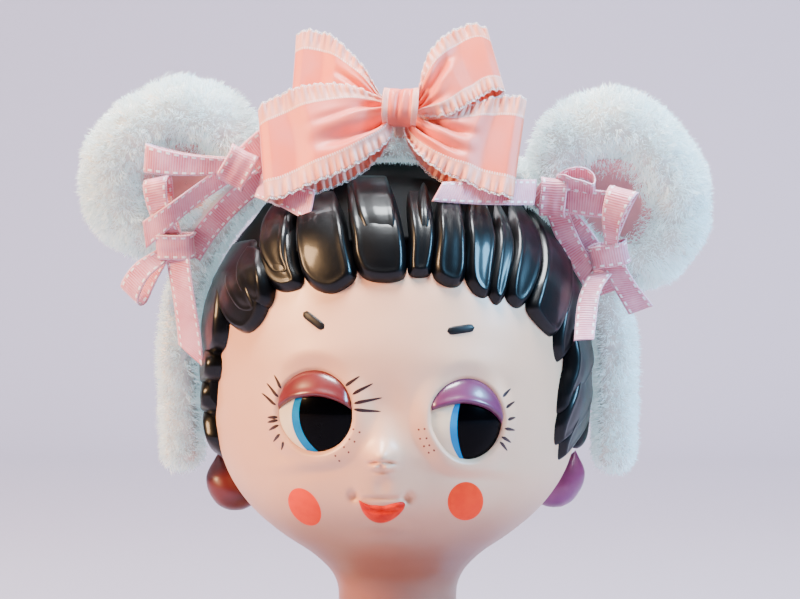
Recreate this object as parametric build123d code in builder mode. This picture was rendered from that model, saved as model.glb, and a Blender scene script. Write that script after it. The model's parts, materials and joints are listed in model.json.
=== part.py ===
from build123d import *
import math
import os

os.makedirs("parts", exist_ok=True)

# Painted vinyl doll's head on a turning stand, wearing a plush headband with two bear ears and ribbons.
# Millimetres, +Z up. The face looks towards -Y, and the head turns about the Z axis.

# Stand
PAD_THICKNESS = 2
PAD_RADIUS = 52
BASE_RADIUS = 56
BASE_TOP = 16
BASE_ROUNDING = 4
WEIGHT_INNER, WEIGHT_OUTER, WEIGHT_HEIGHT = 20, 46, 9
POST_RADIUS = 10
POST_TOP = 50
FLANGE_RADIUS, FLANGE_TOP = 18, 24
BUSH_TOP = 44
BUSH_RADIUS = 19.6
RUNNING_FIT = 0.05
RING_RADIUS, RING_THICKNESS, RING_GROOVE = 13, 1.6, 1.2
SCREW_SHANK, SCREW_HEAD, SCREW_HEAD_HEIGHT, SCREW_TOP = 2.5, 5, 4, 36
FIT = 0.1

# Head: sections as (height, half width, reach to the front, reach to the back)
HEAD = [
    (17, 33, 33, 33),
    (23, 26.5, 26.5, 26.5),
    (32, 23.4, 23.4, 23.4),
    (44, 23.6, 24, 24),
    (52, 26.3, 28, 26.5),
    (60, 33.6, 41, 31),
    (68, 44.8, 54, 39),
    (78, 56.5, 65, 49.5),
    (92, 66.5, 73, 60),
    (110, 71.5, 77, 68),
    (132, 72.5, 78.5, 72),
    (152, 71.5, 77, 71),
    (172, 65.6, 71, 66),
    (190, 54, 57, 57),
    (202, 39.5, 37, 44),
    (208.5, 22, 14, 29),
]
CROWN_START = 150
NECK_TOP = 44
WALL = 3
HAIR_GAP, HAIR_THICKNESS = 0.3, 5
HAIR_SIDE_END, HAIR_BACK_END = 99.5, 76
HAIR_BACK_START = 42
FACE_HALF_WIDTH = 67.5
FACE_CUT_BACK = -12
TEMPLE_HEIGHT = 150
# The hair ends in a fringe: this outline is cut away in front of it, and the lobes hang into the gap
HAIRLINE = [
    (-FACE_HALF_WIDTH, 0),
    (-FACE_HALF_WIDTH, TEMPLE_HEIGHT),
    (-45, 166),
    (-12, 174),
    (18, 176),
    (45, 166),
    (FACE_HALF_WIDTH - 3, TEMPLE_HEIGHT),
    (FACE_HALF_WIDTH, 0),
]
# Fringe lobes: (centre across, height of the tip, radius)
FRINGE = [
    (-57, 147.5, 7),
    (-37.5, 163.8, 8),
    (-18.6, 163.7, 11),
    (0.8, 167.4, 10),
    (14.5, 169.5, 8),
    (25, 166.7, 7),
    (38, 160.5, 7),
    (50.2, 157, 6),
    (62, 146.7, 5),
]

# Eyes: centre of each on the face, and the way it looks
EYES = {"left": ((-26.2, -72.7, 118), (-0.37, -0.93, 0)), "right": ((30.8, -70.7, 115.6), (0.43, -0.9, 0))}
EYE_RADIUS = 24
EYE_SEAT = 16.2
EYE_SET_BACK = 20.2
EYE_BACK = 13
LID_THICKNESS = 1.8
LID_DROP = -1.5
LID_SLANT = 43
LID_START = 5.5

# Earrings: centre of each bead
EARRINGS = {"left": (-69.5, 17, 86.4), "right": (63, 27, 88)}
BEAD_RADIUS = 9.4
BEAD_TIP = 11
PEG_RADIUS, PEG_REACH = 1.5, 15

# Headband: its own plane leans forward, and all its parts are placed across, up and out from that plane
BAND_LEAN = 14
BAND_FOOT = (0, 14, 92)
ARCH_ACROSS, ARCH_UP = -1, 45
ARCH_OUTER = 97
SHOULDER_SWEEP = 65
# Arches as (half width, shoulder radius, start of the shoulder above the arch's centre)
BAND_OUTSIDE = (ARCH_OUTER, ARCH_OUTER, 0)
BAND_INSIDE = (79.3, 60, 21.5)
BAND_DEPTH = 22
BAND_ROUNDING = 4
LEG_END = -2
CORE_RADIUS, CORE_THICKNESS, CORE_DEPTH, CORE_LEG_END = 89.5, 1.2, 12, 8
CORE_OUTSIDE = (CORE_RADIUS + CORE_THICKNESS, CORE_RADIUS + CORE_THICKNESS, 0)
CORE_INSIDE = (CORE_RADIUS, CORE_RADIUS, 0)

# Ears: centre of each across and up, with half width and half height
EARS = {"left": ((-88, 123), (35, 37)), "right": ((88, 115.5), (36, 38))}
EAR_DEPTH = 26
EAR_FRONT = 12
EAR_ROUNDING = 11
DISH_RADIUS, DISH_DEPTH = 45, 7
LINING_RADIUS, LINING_THICKNESS = 22, 1
FILLING_RADIUS, FILLING_DEPTH, FILLING_BACK, FILLING_CLEAR = 23, 10, -9, 5

# Small ribbons: their levels are distances in front of the band's plane
RIBBON = 0.7
NARROW_LOOP, NARROW_NECK = 6, 2.4
BAND_RIBBON_LEVEL = 11.2
BAND_RIBBON_INNER, BAND_RIBBON_OUTER = 86, 96
TAIL_LEVEL = 12.6
STRIP_LEVEL = 13.5
KNOT_LEVEL, KNOT_DEPTH = 14.4, 6.5
LOOP_LEVEL = 17.8
KNOT_CORNER, KNOT_CROWN = 1 / 4, 1 / 6

# Large bow on the crown
BOW_CENTRE = (4.4, -40, 232.3)
BOW_LEAN = 20
BOW_KNOT_SIZE = (14, 16)
BOW_KNOT_BACK, BOW_KNOT_FRONT = -18, 8
BOW_RIBBON = 1.2
BOW_NECK = 3.6
BOW_DEPTH = 14


def save(piece, name):
    """Label one finished piece and write its STEP file."""
    piece.part.label = name
    export_step(piece.part, f"parts/{name}.step")


def head_form(grow):
    """The head's closed outer form, pushed outwards by grow."""
    top = HEAD[-1][0]
    with BuildPart() as form:
        for height, side, front, back in HEAD:
            rise = grow * max(0, height - CROWN_START) / (top - CROWN_START)
            with BuildSketch(Plane((0, (back - front) / 2, height + rise))):
                Ellipse(side + grow, (front + back) / 2 + grow)
        loft()
    return form.part


def arch_face(half_width, shoulder_radius, shoulder_start, foot):
    """Inside of an arch: straight legs, round shoulders and a flatter crown, closed across the feet."""
    offset_in = half_width - shoulder_radius
    sweep = math.radians(SHOULDER_SWEEP)
    with BuildSketch() as face:
        with BuildLine():
            Line((0, foot), (half_width, foot))
            Line((half_width, foot), (half_width, shoulder_start))
            CenterArc((offset_in, shoulder_start), shoulder_radius, 0, SHOULDER_SWEEP)
            CenterArc(
                (0, shoulder_start - offset_in * math.tan(sweep)),
                shoulder_radius + offset_in / math.cos(sweep),
                SHOULDER_SWEEP,
                90 - SHOULDER_SWEEP,
            )
            mirror(about=Plane.YZ)
        make_face()
    return face.sketch


def arch(outer, inner, leg_end, depth, grow=0):
    """The solid between two arches about the band's plane, pushed outwards by grow."""
    foot = leg_end - ARCH_UP - grow
    outside = arch_face(outer[0] + grow, outer[1] + grow, outer[2], foot)
    inside = arch_face(inner[0] - grow, inner[1] - grow, inner[2], foot)
    centre = band_plane.from_local_coords((ARCH_ACROSS, ARCH_UP, 0))
    with BuildPart() as form:
        with BuildSketch(Plane(centre, x_dir=band_plane.x_dir, z_dir=band_plane.z_dir)):
            add(outside)
            add(inside, mode=Mode.SUBTRACT)
        extrude(amount=depth / 2 + grow, both=True)
    return form


band_slope = math.radians(BAND_LEAN)
band_plane = Plane(BAND_FOOT, x_dir=(1, 0, 0), z_dir=(0, -math.cos(band_slope), -math.sin(band_slope)))
bow_slope = math.radians(BOW_LEAN)
bow_plane = Plane(BOW_CENTRE, x_dir=(1, 0, 0), z_dir=(0, -math.cos(bow_slope), math.sin(bow_slope)))

head_outside = head_form(0)
head_inside = head_form(-WALL)
hair_outside = head_form(HAIR_GAP + HAIR_THICKNESS)
hair_inside = head_form(HAIR_GAP)
band_space = arch(BAND_OUTSIDE, BAND_INSIDE, LEG_END, BAND_DEPTH, FIT).part


# --- Stand ---

with BuildPart() as felt_pad:
    with BuildSketch():
        Circle(PAD_RADIUS)
    extrude(amount=PAD_THICKNESS)
save(felt_pad, "felt_pad")

with BuildPart() as base_disc:
    with BuildSketch(Plane.XY.offset(PAD_THICKNESS)):
        Circle(BASE_RADIUS)
    extrude(amount=BASE_TOP - PAD_THICKNESS)
    fillet(base_disc.edges().filter_by(GeomType.CIRCLE).sort_by(Axis.Z)[-1], BASE_ROUNDING)
    with BuildSketch(Plane.XY.offset(PAD_THICKNESS)):
        Circle(WEIGHT_OUTER + FIT)
        Circle(WEIGHT_INNER - FIT, mode=Mode.SUBTRACT)
    extrude(amount=WEIGHT_HEIGHT, mode=Mode.SUBTRACT)
    with BuildSketch(Plane.XY.offset(PAD_THICKNESS)):
        Circle(SCREW_HEAD + FIT)
    extrude(amount=SCREW_HEAD_HEIGHT, mode=Mode.SUBTRACT)
    with BuildSketch(Plane.XY.offset(PAD_THICKNESS)):
        Circle(SCREW_SHANK + FIT)
    extrude(amount=BASE_TOP, mode=Mode.SUBTRACT)
save(base_disc, "base_disc")

with BuildPart() as base_weight:
    with BuildSketch(Plane.XY.offset(PAD_THICKNESS)):
        Circle(WEIGHT_OUTER)
        Circle(WEIGHT_INNER, mode=Mode.SUBTRACT)
    extrude(amount=WEIGHT_HEIGHT)
save(base_weight, "base_weight")

ring_bottom = BUSH_TOP + FIT
with BuildPart() as swivel_post:
    with BuildSketch(Plane.XY.offset(BASE_TOP)):
        Circle(FLANGE_RADIUS)
    extrude(amount=FLANGE_TOP - BASE_TOP)
    with BuildSketch(Plane.XY.offset(FLANGE_TOP)):
        Circle(POST_RADIUS)
    extrude(amount=POST_TOP - FLANGE_TOP)
    chamfer(swivel_post.edges().filter_by(GeomType.CIRCLE).sort_by(Axis.Z)[-1], 1)
    with BuildSketch(Plane.XY.offset(ring_bottom)):
        Circle(POST_RADIUS + 1)
        Circle(POST_RADIUS - RING_GROOVE, mode=Mode.SUBTRACT)
    extrude(amount=RING_THICKNESS + FIT, mode=Mode.SUBTRACT)
    with BuildSketch(Plane.XY.offset(BASE_TOP)):
        Circle(SCREW_SHANK + FIT)
    extrude(amount=SCREW_TOP + 1 - BASE_TOP, mode=Mode.SUBTRACT)
save(swivel_post, "swivel_post")

with BuildPart() as post_screw:
    with BuildSketch(Plane.XY.offset(PAD_THICKNESS)):
        Circle(SCREW_HEAD)
    extrude(amount=SCREW_HEAD_HEIGHT)
    with BuildSketch(Plane.XY.offset(PAD_THICKNESS)):
        Circle(SCREW_SHANK)
    extrude(amount=SCREW_TOP - PAD_THICKNESS)
    with BuildSketch(Plane.XY.offset(PAD_THICKNESS)):
        RegularPolygon(SCREW_SHANK, 6)
    extrude(amount=SCREW_HEAD_HEIGHT / 2, mode=Mode.SUBTRACT)
save(post_screw, "post_screw")

with BuildPart() as retaining_ring:
    with BuildSketch(Plane.XY.offset(ring_bottom + FIT / 2)):
        Circle(RING_RADIUS)
        Circle(POST_RADIUS - RING_GROOVE + FIT, mode=Mode.SUBTRACT)
        with Locations((0, -POST_RADIUS)):
            Rectangle(POST_RADIUS / 2, POST_RADIUS, mode=Mode.SUBTRACT)
    extrude(amount=RING_THICKNESS)
save(retaining_ring, "retaining_ring")


# --- Head ---

with BuildPart() as neck_bush:
    with BuildSketch(Plane.XY.offset(FLANGE_TOP + FIT)):
        Circle(BUSH_RADIUS)
        Circle(POST_RADIUS + RUNNING_FIT, mode=Mode.SUBTRACT)
    extrude(amount=BUSH_TOP - FLANGE_TOP - FIT)
save(neck_bush, "neck_bush")


def eye_plane(side):
    """Plane at the eyeball's centre, looking out of the face."""
    centre, outward = EYES[side]
    out = Vector(*outward).normalized()
    return Plane(Vector(*centre) - out * EYE_SET_BACK, x_dir=(-out.Y, out.X, 0), z_dir=out)


def eyeball(side, grow=0):
    """Front of a ball with a flat back."""
    with BuildPart(eye_plane(side)) as ball:
        Sphere(EYE_RADIUS + grow)
        with Locations((0, 0, EYE_BACK - grow)):
            Cylinder(
                EYE_SEAT + grow,
                EYE_RADIUS,
                align=(Align.CENTER, Align.CENTER, Align.MIN),
                mode=Mode.INTERSECT,
            )
    return ball


def eyelid_dome(side):
    """Curved shell over the upper half of the eye."""
    with BuildPart(eye_plane(side)) as dome:
        Sphere(EYE_RADIUS + FIT + LID_THICKNESS)
        Sphere(EYE_RADIUS + FIT, mode=Mode.SUBTRACT)
        with Locations((0, 0, EYE_BACK)):
            Cylinder(
                EYE_SEAT,
                EYE_RADIUS,
                align=(Align.CENTER, Align.CENTER, Align.MIN),
                mode=Mode.INTERSECT,
            )
        with Locations(Location((0, LID_DROP, EYE_RADIUS - LID_START), (-LID_SLANT, 0, 0))):
            Box(
                3 * EYE_RADIUS,
                3 * EYE_RADIUS,
                4 * EYE_RADIUS,
                align=(Align.CENTER, Align.MIN, Align.CENTER),
                mode=Mode.INTERSECT,
            )
    return dome.part


def eyelid(side):
    """The dome's part that stands out of the face."""
    dome = eyelid_dome(side)
    with BuildPart() as lid:
        add(dome)
        add(eyelid_floor, mode=Mode.SUBTRACT)
    return lid


def earring(side, grow=0):
    """Round bead with a short tip and a peg into the head."""
    across, back, height = EARRINGS[side]
    inward = Vector(-across, -back, 0).normalized()
    tangent = BEAD_RADIUS**2 / BEAD_TIP
    with BuildPart(Plane((across, back, height))) as bead:
        Sphere(BEAD_RADIUS + grow)
        with Locations((0, 0, tangent)):
            Cone(
                math.sqrt(BEAD_RADIUS**2 - tangent**2),
                0.5,
                BEAD_TIP - tangent,
                align=(Align.CENTER, Align.CENTER, Align.MIN),
            )
        with BuildSketch(Plane((across, back, height), z_dir=inward)):
            Circle(PEG_RADIUS + grow)
        extrude(amount=PEG_REACH)
    return bead


eyelid_floor = head_form(FIT)
eye_seats = [eyeball(side, FIT).part for side in EYES]
bead_seats = [earring(side, FIT).part for side in EARRINGS]

with BuildPart() as neck_shell:
    add(head_outside)
    add(head_inside, mode=Mode.SUBTRACT)
    split(bisect_by=Plane.XY.offset(NECK_TOP), keep=Keep.BOTTOM)
save(neck_shell, "neck_shell")

with BuildPart() as head_shell:
    add(head_outside)
    add(head_inside, mode=Mode.SUBTRACT)
    split(bisect_by=Plane.XY.offset(NECK_TOP), keep=Keep.TOP)
    add(eye_seats, mode=Mode.SUBTRACT)
    add(bead_seats, mode=Mode.SUBTRACT)
save(head_shell, "head_shell")

for side in EYES:
    save(eyeball(side), f"eyeball_{side}")
    save(eyelid(side), f"eyelid_{side}")
    save(earring(side), f"earring_{side}")

cut_reach = 2 * FACE_HALF_WIDTH
with BuildPart() as hair_cap:
    add(hair_outside)
    add(hair_inside, mode=Mode.SUBTRACT)
    with BuildSketch():
        Rectangle(4 * FACE_HALF_WIDTH, 4 * FACE_HALF_WIDTH)
    extrude(amount=HAIR_BACK_END, mode=Mode.SUBTRACT)
    with BuildSketch(Plane.XZ.offset(-HAIR_BACK_START)):
        Rectangle(4 * FACE_HALF_WIDTH, 2 * HAIR_SIDE_END)
    extrude(amount=cut_reach, mode=Mode.SUBTRACT)
    with BuildSketch(Plane.XZ.offset(-FACE_CUT_BACK)):
        with BuildLine():
            Polyline(*HAIRLINE, close=True)
        make_face()
        for across, tip, radius in FRINGE:
            with Locations((across, tip + radius)):
                Circle(radius, mode=Mode.SUBTRACT)
    extrude(amount=cut_reach, mode=Mode.SUBTRACT)
save(hair_cap, "hair_cap")


# --- Headband ---

headband_core = arch(CORE_OUTSIDE, CORE_INSIDE, CORE_LEG_END, CORE_DEPTH)
save(headband_core, "headband_core")
core_space = arch(CORE_OUTSIDE, CORE_INSIDE, CORE_LEG_END, CORE_DEPTH, FIT).part

plush_block = arch(BAND_OUTSIDE, BAND_INSIDE, LEG_END, BAND_DEPTH)
with BuildPart() as headband_plush:
    add(plush_block.part)
    fillet(headband_plush.edges(), BAND_ROUNDING)
    add(core_space, mode=Mode.SUBTRACT)
save(headband_plush, "headband_plush")


def band_disc(radius):
    """Everything inside a radius about the arch's centre, through the whole depth of the ears."""
    with BuildPart() as disc:
        with BuildSketch(band_plane):
            with Locations((ARCH_ACROSS, ARCH_UP)):
                Circle(radius)
        extrude(amount=2 * EAR_DEPTH, both=True)
    return disc.part


ear_seat = band_disc(ARCH_OUTER + FIT)
filling_seat = band_disc(ARCH_OUTER + FILLING_CLEAR)


def ear_filling(side, grow=0):
    """Flat pad inside the ear."""
    (across, up), _ = EARS[side]
    with BuildPart() as filling:
        with BuildSketch(band_plane.offset(FILLING_BACK - grow)):
            with Locations((across, up)):
                Circle(FILLING_RADIUS + grow)
        extrude(amount=FILLING_DEPTH + 2 * grow)
        if grow == 0:
            add(filling_seat, mode=Mode.SUBTRACT)
    return filling


def ear_dish(side):
    """Dished disc as wide as the lining, before the band is cut from it."""
    (across, up), _ = EARS[side]
    centre = band_plane.from_local_coords((across, up, EAR_FRONT - DISH_DEPTH + DISH_RADIUS))
    with BuildPart(Plane(centre, z_dir=band_plane.z_dir)) as dish:
        Cylinder(LINING_RADIUS, 2 * DISH_RADIUS, align=(Align.CENTER, Align.CENTER, Align.MAX))
        Sphere(DISH_RADIUS + LINING_THICKNESS, mode=Mode.INTERSECT)
        Sphere(DISH_RADIUS, mode=Mode.SUBTRACT)
    return dish.part


def ear_lining(side):
    """Dished disc of lining cloth in the front of the ear."""
    dish = ear_dish(side)
    with BuildPart() as lining:
        add(dish)
        add(ear_seat, mode=Mode.SUBTRACT)
    return lining


def ear_plush(side):
    """Soft ear with a dished front, standing on the band."""
    (across, up), (half_width, half_height) = EARS[side]
    centre = band_plane.from_local_coords((across, up, EAR_FRONT - DISH_DEPTH + DISH_RADIUS))
    with BuildPart() as ear:
        with BuildSketch(band_plane.offset(EAR_FRONT - EAR_DEPTH)):
            with Locations((across, up)):
                Ellipse(half_width, half_height)
        extrude(amount=EAR_DEPTH)
        fillet(ear.edges(), EAR_ROUNDING)
        with Locations(centre):
            Sphere(DISH_RADIUS + LINING_THICKNESS + FIT, mode=Mode.SUBTRACT)
        add(filling_spaces[side], mode=Mode.SUBTRACT)
        add(ear_seat, mode=Mode.SUBTRACT)
    return ear


filling_spaces = {side: ear_filling(side, FIT).part for side in EARS}
for side in EARS:
    save(ear_plush(side), f"ear_{side}_plush")
    save(ear_lining(side), f"ear_{side}_lining")
    save(ear_filling(side), f"ear_{side}_filling")


# --- Ribbons ---

def flat_ribbon(name, level, outline):
    """Flat length of ribbon, parallel to the band's plane."""
    with BuildPart() as ribbon:
        with BuildSketch(band_plane.offset(level)):
            with BuildLine():
                Polyline(*outline, close=True)
            make_face()
        extrude(amount=RIBBON)
    save(ribbon, name)


def curved_ribbon(name, start, end):
    """Ribbon that follows the arch, between two angles from its right-hand side."""
    with BuildPart() as ribbon:
        with BuildSketch(band_plane.offset(BAND_RIBBON_LEVEL)):
            with BuildLine(Location((ARCH_ACROSS, ARCH_UP))):
                near = CenterArc((0, 0), BAND_RIBBON_INNER, start, end - start)
                far = CenterArc((0, 0), BAND_RIBBON_OUTER, start, end - start)
                Line(near @ 0, far @ 0)
                Line(near @ 1, far @ 1)
            make_face()
        extrude(amount=RIBBON)
    save(ribbon, name)


def ribbon_knot(name, plane, centre, size, turn, depth, cut=None):
    """Pulled-tight wrap at the middle of a bow, raised from the plane by its depth."""
    with BuildPart() as knot:
        with BuildSketch(plane):
            with Locations(Location((*centre, 0), (0, 0, turn))):
                RectangleRounded(*size, min(size) * KNOT_CORNER)
        extrude(amount=depth)
        front = knot.faces().sort_by(Axis((0, 0, 0), plane.z_dir))[-1]
        fillet(front.edges(), depth * KNOT_CROWN)
        if cut:
            add(cut, mode=Mode.SUBTRACT)
    save(knot, name)


def ribbon_loop(name, plane, neck, tip, widths, depth, ribbon, neck_depth):
    """Loop of ribbon from neck to tip on the plane. It opens along the plane's normal and fans out."""
    along = Vector(tip[0] - neck[0], tip[1] - neck[1], 0)
    length = along.length
    turn = math.degrees(math.atan2(along.Y, along.X))
    face_plane = plane * Location((*neck, 0), (0, 0, turn))
    side_plane = face_plane * Location((0, 0, 0), (90, 0, 0))
    end_radius = depth / 2
    with BuildPart() as loop:
        with BuildSketch(Plane(side_plane)):
            with Locations((neck_depth / 2, 0)):
                Circle(neck_depth / 2)
            with Locations((length - end_radius, 0)):
                Circle(end_radius)
            make_hull()
            offset(amount=-ribbon, mode=Mode.SUBTRACT)
        extrude(amount=max(widths), both=True)
        with BuildSketch(Plane(face_plane)):
            with BuildLine():
                Polyline(
                    (-1, widths[0] / 2),
                    (length + 1, widths[1] / 2),
                    (length + 1, -widths[1] / 2),
                    (-1, -widths[0] / 2),
                    close=True,
                )
            make_face()
        extrude(amount=depth, both=True, mode=Mode.INTERSECT)
    save(loop, name)


loop_plane = band_plane.offset(LOOP_LEVEL)
knot_plane = band_plane.offset(KNOT_LEVEL)


def narrow_loop(name, neck, tip, widths):
    """Small ribbon loop in front of the band."""
    ribbon_loop(name, loop_plane, neck, tip, widths, NARROW_LOOP, RIBBON, NARROW_NECK)


# Left-hand ribbons
curved_ribbon("left_band_ribbon", 118, 150)
ribbon_knot("left_upper_knot", knot_plane, (-60, 127.3), (15, 11.5), -20, KNOT_DEPTH)
narrow_loop("left_upper_loop", (-68.7, 129), (-95, 128.5), (8, 11))
flat_ribbon("left_upper_strip", TAIL_LEVEL, [(-60, 133), (-50, 142), (-44, 136), (-54, 126)])
flat_ribbon("left_upper_tail", TAIL_LEVEL, [(-66, 129.5), (-97, 107), (-96, 95.5), (-61, 120)])
ribbon_knot("left_lower_knot", knot_plane, (-85.6, 96.6), (13, 9.5), 0, KNOT_DEPTH)
narrow_loop("left_lower_loop_up", (-87, 102.2), (-92, 121), (8, 9))
narrow_loop("left_lower_loop_down", (-92.6, 91.4), (-105, 76), (7, 12))

# Right-hand ribbons
curved_ribbon("right_band_ribbon", 22, 50)
ribbon_knot("right_upper_knot", knot_plane, (62.6, 115.5), (11, 11.5), -5, KNOT_DEPTH)
narrow_loop("right_upper_loop", (68, 121), (77, 125), (6, 8))
flat_ribbon("right_upper_strip", STRIP_LEVEL, [(68.6, 117), (85, 115.2), (85, 107.3), (68.6, 109)])
flat_ribbon("right_upper_tail", TAIL_LEVEL, [(60, 113), (69.5, 113), (82.5, 85.6), (76.6, 84), (74.7, 77.6)])
ribbon_knot("right_lower_knot", knot_plane, (83.6, 93.2), (12.5, 8.5), 12, KNOT_DEPTH)
narrow_loop("right_lower_loop", (85.2, 99.2), (89.5, 117.5), (8, 12))
flat_ribbon("right_lower_tail_outer", TAIL_LEVEL, [(80.5, 92), (89, 92), (99.2, 71.6), (93, 68.7)])


def leaning_tail(name, start, end, width, across):
    """Straight ribbon between two points in space, its width along a given direction."""
    start, end = Vector(*start), Vector(*end)
    along = end - start
    with BuildPart(Plane(start, x_dir=along, z_dir=along.cross(Vector(*across)))) as tail:
        Box(along.length, width, RIBBON, align=(Align.MIN, Align.CENTER, Align.CENTER))
    save(tail, name)


leaning_tail("left_upper_tail_inner", (-50, -32, 204), (-31, -51, 197), 8, (0.3, 0.45, 0.85))
leaning_tail("right_upper_tail_inner", (55.5, -34, 201.5), (24, -51, 202), 8, (-0.1, 0.45, 0.85))
leaning_tail("left_lower_tail", (-85.6, -21.3, 181), (-80.4, -23.5, 138.5), 9.3, (1, 0, 0.1))
leaning_tail("right_lower_tail_inner", (79.4, -23.5, 171), (74.8, -40, 144.5), 8, (1, -0.3, 0))

# Large bow
BOW_LOOPS = {
    "lower_left": ((-7.3, -4.2), (-52, -15), (7, 38)),
    "lower_right": ((7.3, -4.2), (48.5, -14.2), (7, 38)),
    "upper_left": ((-7.8, 4.4), (-42, 22), (7, 30)),
    "upper_right": ((7.8, 4.4), (38, 22), (7, 30)),
}
for corner, (neck, tip, widths) in BOW_LOOPS.items():
    ribbon_loop(f"bow_loop_{corner}", bow_plane, neck, tip, widths, BOW_DEPTH, BOW_RIBBON, BOW_NECK)
ribbon_knot(
    "bow_knot",
    bow_plane.offset(BOW_KNOT_BACK),
    (0, 0),
    BOW_KNOT_SIZE,
    0,
    BOW_KNOT_FRONT - BOW_KNOT_BACK,
    cut=band_space,
)
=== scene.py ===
import json
import math

import bpy
import numpy as np
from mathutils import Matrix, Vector
from mathutils.bvhtree import BVHTree


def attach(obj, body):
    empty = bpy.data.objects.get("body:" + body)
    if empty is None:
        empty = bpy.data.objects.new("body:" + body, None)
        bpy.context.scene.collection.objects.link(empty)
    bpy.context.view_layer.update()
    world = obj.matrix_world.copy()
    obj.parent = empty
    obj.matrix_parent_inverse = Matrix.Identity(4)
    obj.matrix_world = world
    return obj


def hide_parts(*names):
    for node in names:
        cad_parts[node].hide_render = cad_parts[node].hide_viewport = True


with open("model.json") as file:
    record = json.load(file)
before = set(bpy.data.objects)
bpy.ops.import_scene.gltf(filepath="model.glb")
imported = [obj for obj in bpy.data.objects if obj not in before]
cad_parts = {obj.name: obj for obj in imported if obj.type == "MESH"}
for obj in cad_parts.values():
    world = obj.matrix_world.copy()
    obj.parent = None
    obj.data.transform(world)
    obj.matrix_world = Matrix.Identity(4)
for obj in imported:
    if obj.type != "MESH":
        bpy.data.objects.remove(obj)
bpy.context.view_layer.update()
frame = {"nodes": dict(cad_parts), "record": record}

# A painted vinyl doll's head on a turning stand, with a plush headband, bear ears and ribbons.
# Shapes are worked out in millimetres, in the frame's own axes, and become metres in piece().

MM = 0.001
rng = np.random.default_rng(7)


# ---------------------------------------------------------------- shared tools

def arr(*rows):
    return np.array(rows, float)


def unit(v):
    v = np.asarray(v, float)
    return v / np.maximum(np.linalg.norm(v, axis=-1, keepdims=True), 1e-9)


def smoothstep(low, high, value):
    t = np.clip((value - low) / (high - low), 0, 1)
    return t * t * (3 - 2 * t)


def rounding(distance, size):
    """Quarter-circle edge: 0 at the edge itself and 1 from size inwards."""
    return np.sqrt(1 - (1 - np.clip(distance / size, 0, 1)) ** 2)


def run_length(line):
    """Distance along a line at each of its points."""
    return np.r_[0, np.cumsum(np.linalg.norm(np.diff(line, axis=0), axis=1))]


def even_steps(line, t):
    """Points of a line at fractions t of its length."""
    run = run_length(line)
    return np.column_stack([np.interp(t * run[-1], run, column) for column in line.T])


def around(count):
    """Angles evenly round a circle."""
    return np.linspace(0, 2 * math.pi, count, endpoint=False)


def on_circle(angle):
    """Places across and up on a circle of radius 1."""
    return np.stack([np.cos(angle), np.sin(angle)], -1)


def grid_ways(rows, cols):
    """Coordinates of a grid: t is 0 to 1 from row to row, and s is -1 to 1 along a row."""
    return np.linspace(0, 1, rows)[:, None], np.linspace(-1, 1, cols)[None, :]


def with_height(flat, height):
    """Places in a plane with their height over it joined on."""
    return np.concatenate([flat, np.broadcast_to(height, flat.shape[:-1])[..., None]], -1)


def squared(value, power):
    """A sine or cosine bulged towards a square wave, for boxy sections."""
    return np.sign(value) * np.abs(value) ** power


def turned(x, y, degrees):
    c, s = math.cos(math.radians(degrees)), math.sin(math.radians(degrees))
    return x * c - y * s, x * s + y * c


def smooth_path(points, per_span=12, closed=False):
    """A Catmull-Rom curve through the points."""
    points = np.asarray(points, float)
    if closed:
        ring = np.vstack([points[-1:], points, points[:2]])
    else:
        ring = np.vstack([2 * points[:1] - points[1:2], points, 2 * points[-1:] - points[-2:-1]])
    out = []
    for a, b, c, d in zip(ring, ring[1:], ring[2:], ring[3:]):
        t = np.linspace(0, 1, per_span, endpoint=False)[:, None]
        out.append(0.5 * (2 * b + (c - a) * t + (2 * a - 5 * b + 4 * c - d) * t**2
                          + (3 * b - a - 3 * c + d) * t**3))
    if not closed:
        out.append(points[-1:])
    return np.vstack(out)


def grid_faces(rows, cols, wrap=False):
    """Quads of a grid of points stored row by row; wrap joins the last column to the first."""
    r, c = np.meshgrid(np.arange(rows - 1), np.arange(cols if wrap else cols - 1), indexing="ij")
    n = (c + 1) % cols
    quads = np.stack([r * cols + c, r * cols + n, (r + 1) * cols + n, (r + 1) * cols + c], -1)
    return quads.reshape(-1, 4).tolist()


def ring_to_point(first, count, point):
    """Triangles from a ring of points to one point."""
    return [[first + i, first + (i + 1) % count, point] for i in range(count)]


def end_caps(rows, cols):
    """One face over the first ring of a wrapped grid and one over the last."""
    return [list(range(cols)), list(range((rows - 1) * cols, rows * cols))[::-1]]


def mesh_array(items, key, width, kind=float):
    """One property of every vertex or triangle, as rows."""
    out = np.empty(len(items) * width, kind)
    items.foreach_get(key, out)
    return out.reshape(-1, width)


def face_outwards(mesh):
    """Turn the faces over if the mesh as a whole is inside out."""
    mesh.calc_loop_triangles()
    spots = mesh_array(mesh.vertices, "co", 3)
    spots = spots - spots.mean(0)
    a, b, c = spots[mesh_array(mesh.loop_triangles, "vertices", 3, np.int32).T]
    if (a * np.cross(b, c)).sum() < 0:
        mesh.flip_normals()
    mesh.update()


def linked(name, data):
    """A new object in the scene."""
    thing = bpy.data.objects.new(name, data)
    bpy.context.collection.objects.link(thing)
    return thing


def smooth_mesh(name, points, faces, materials):
    mesh = bpy.data.meshes.new(name)
    mesh.from_pydata((np.asarray(points, float) * MM).reshape(-1, 3).tolist(), [], faces)
    for one in materials:
        mesh.materials.append(one)
    mesh.shade_smooth()
    return mesh


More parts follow.
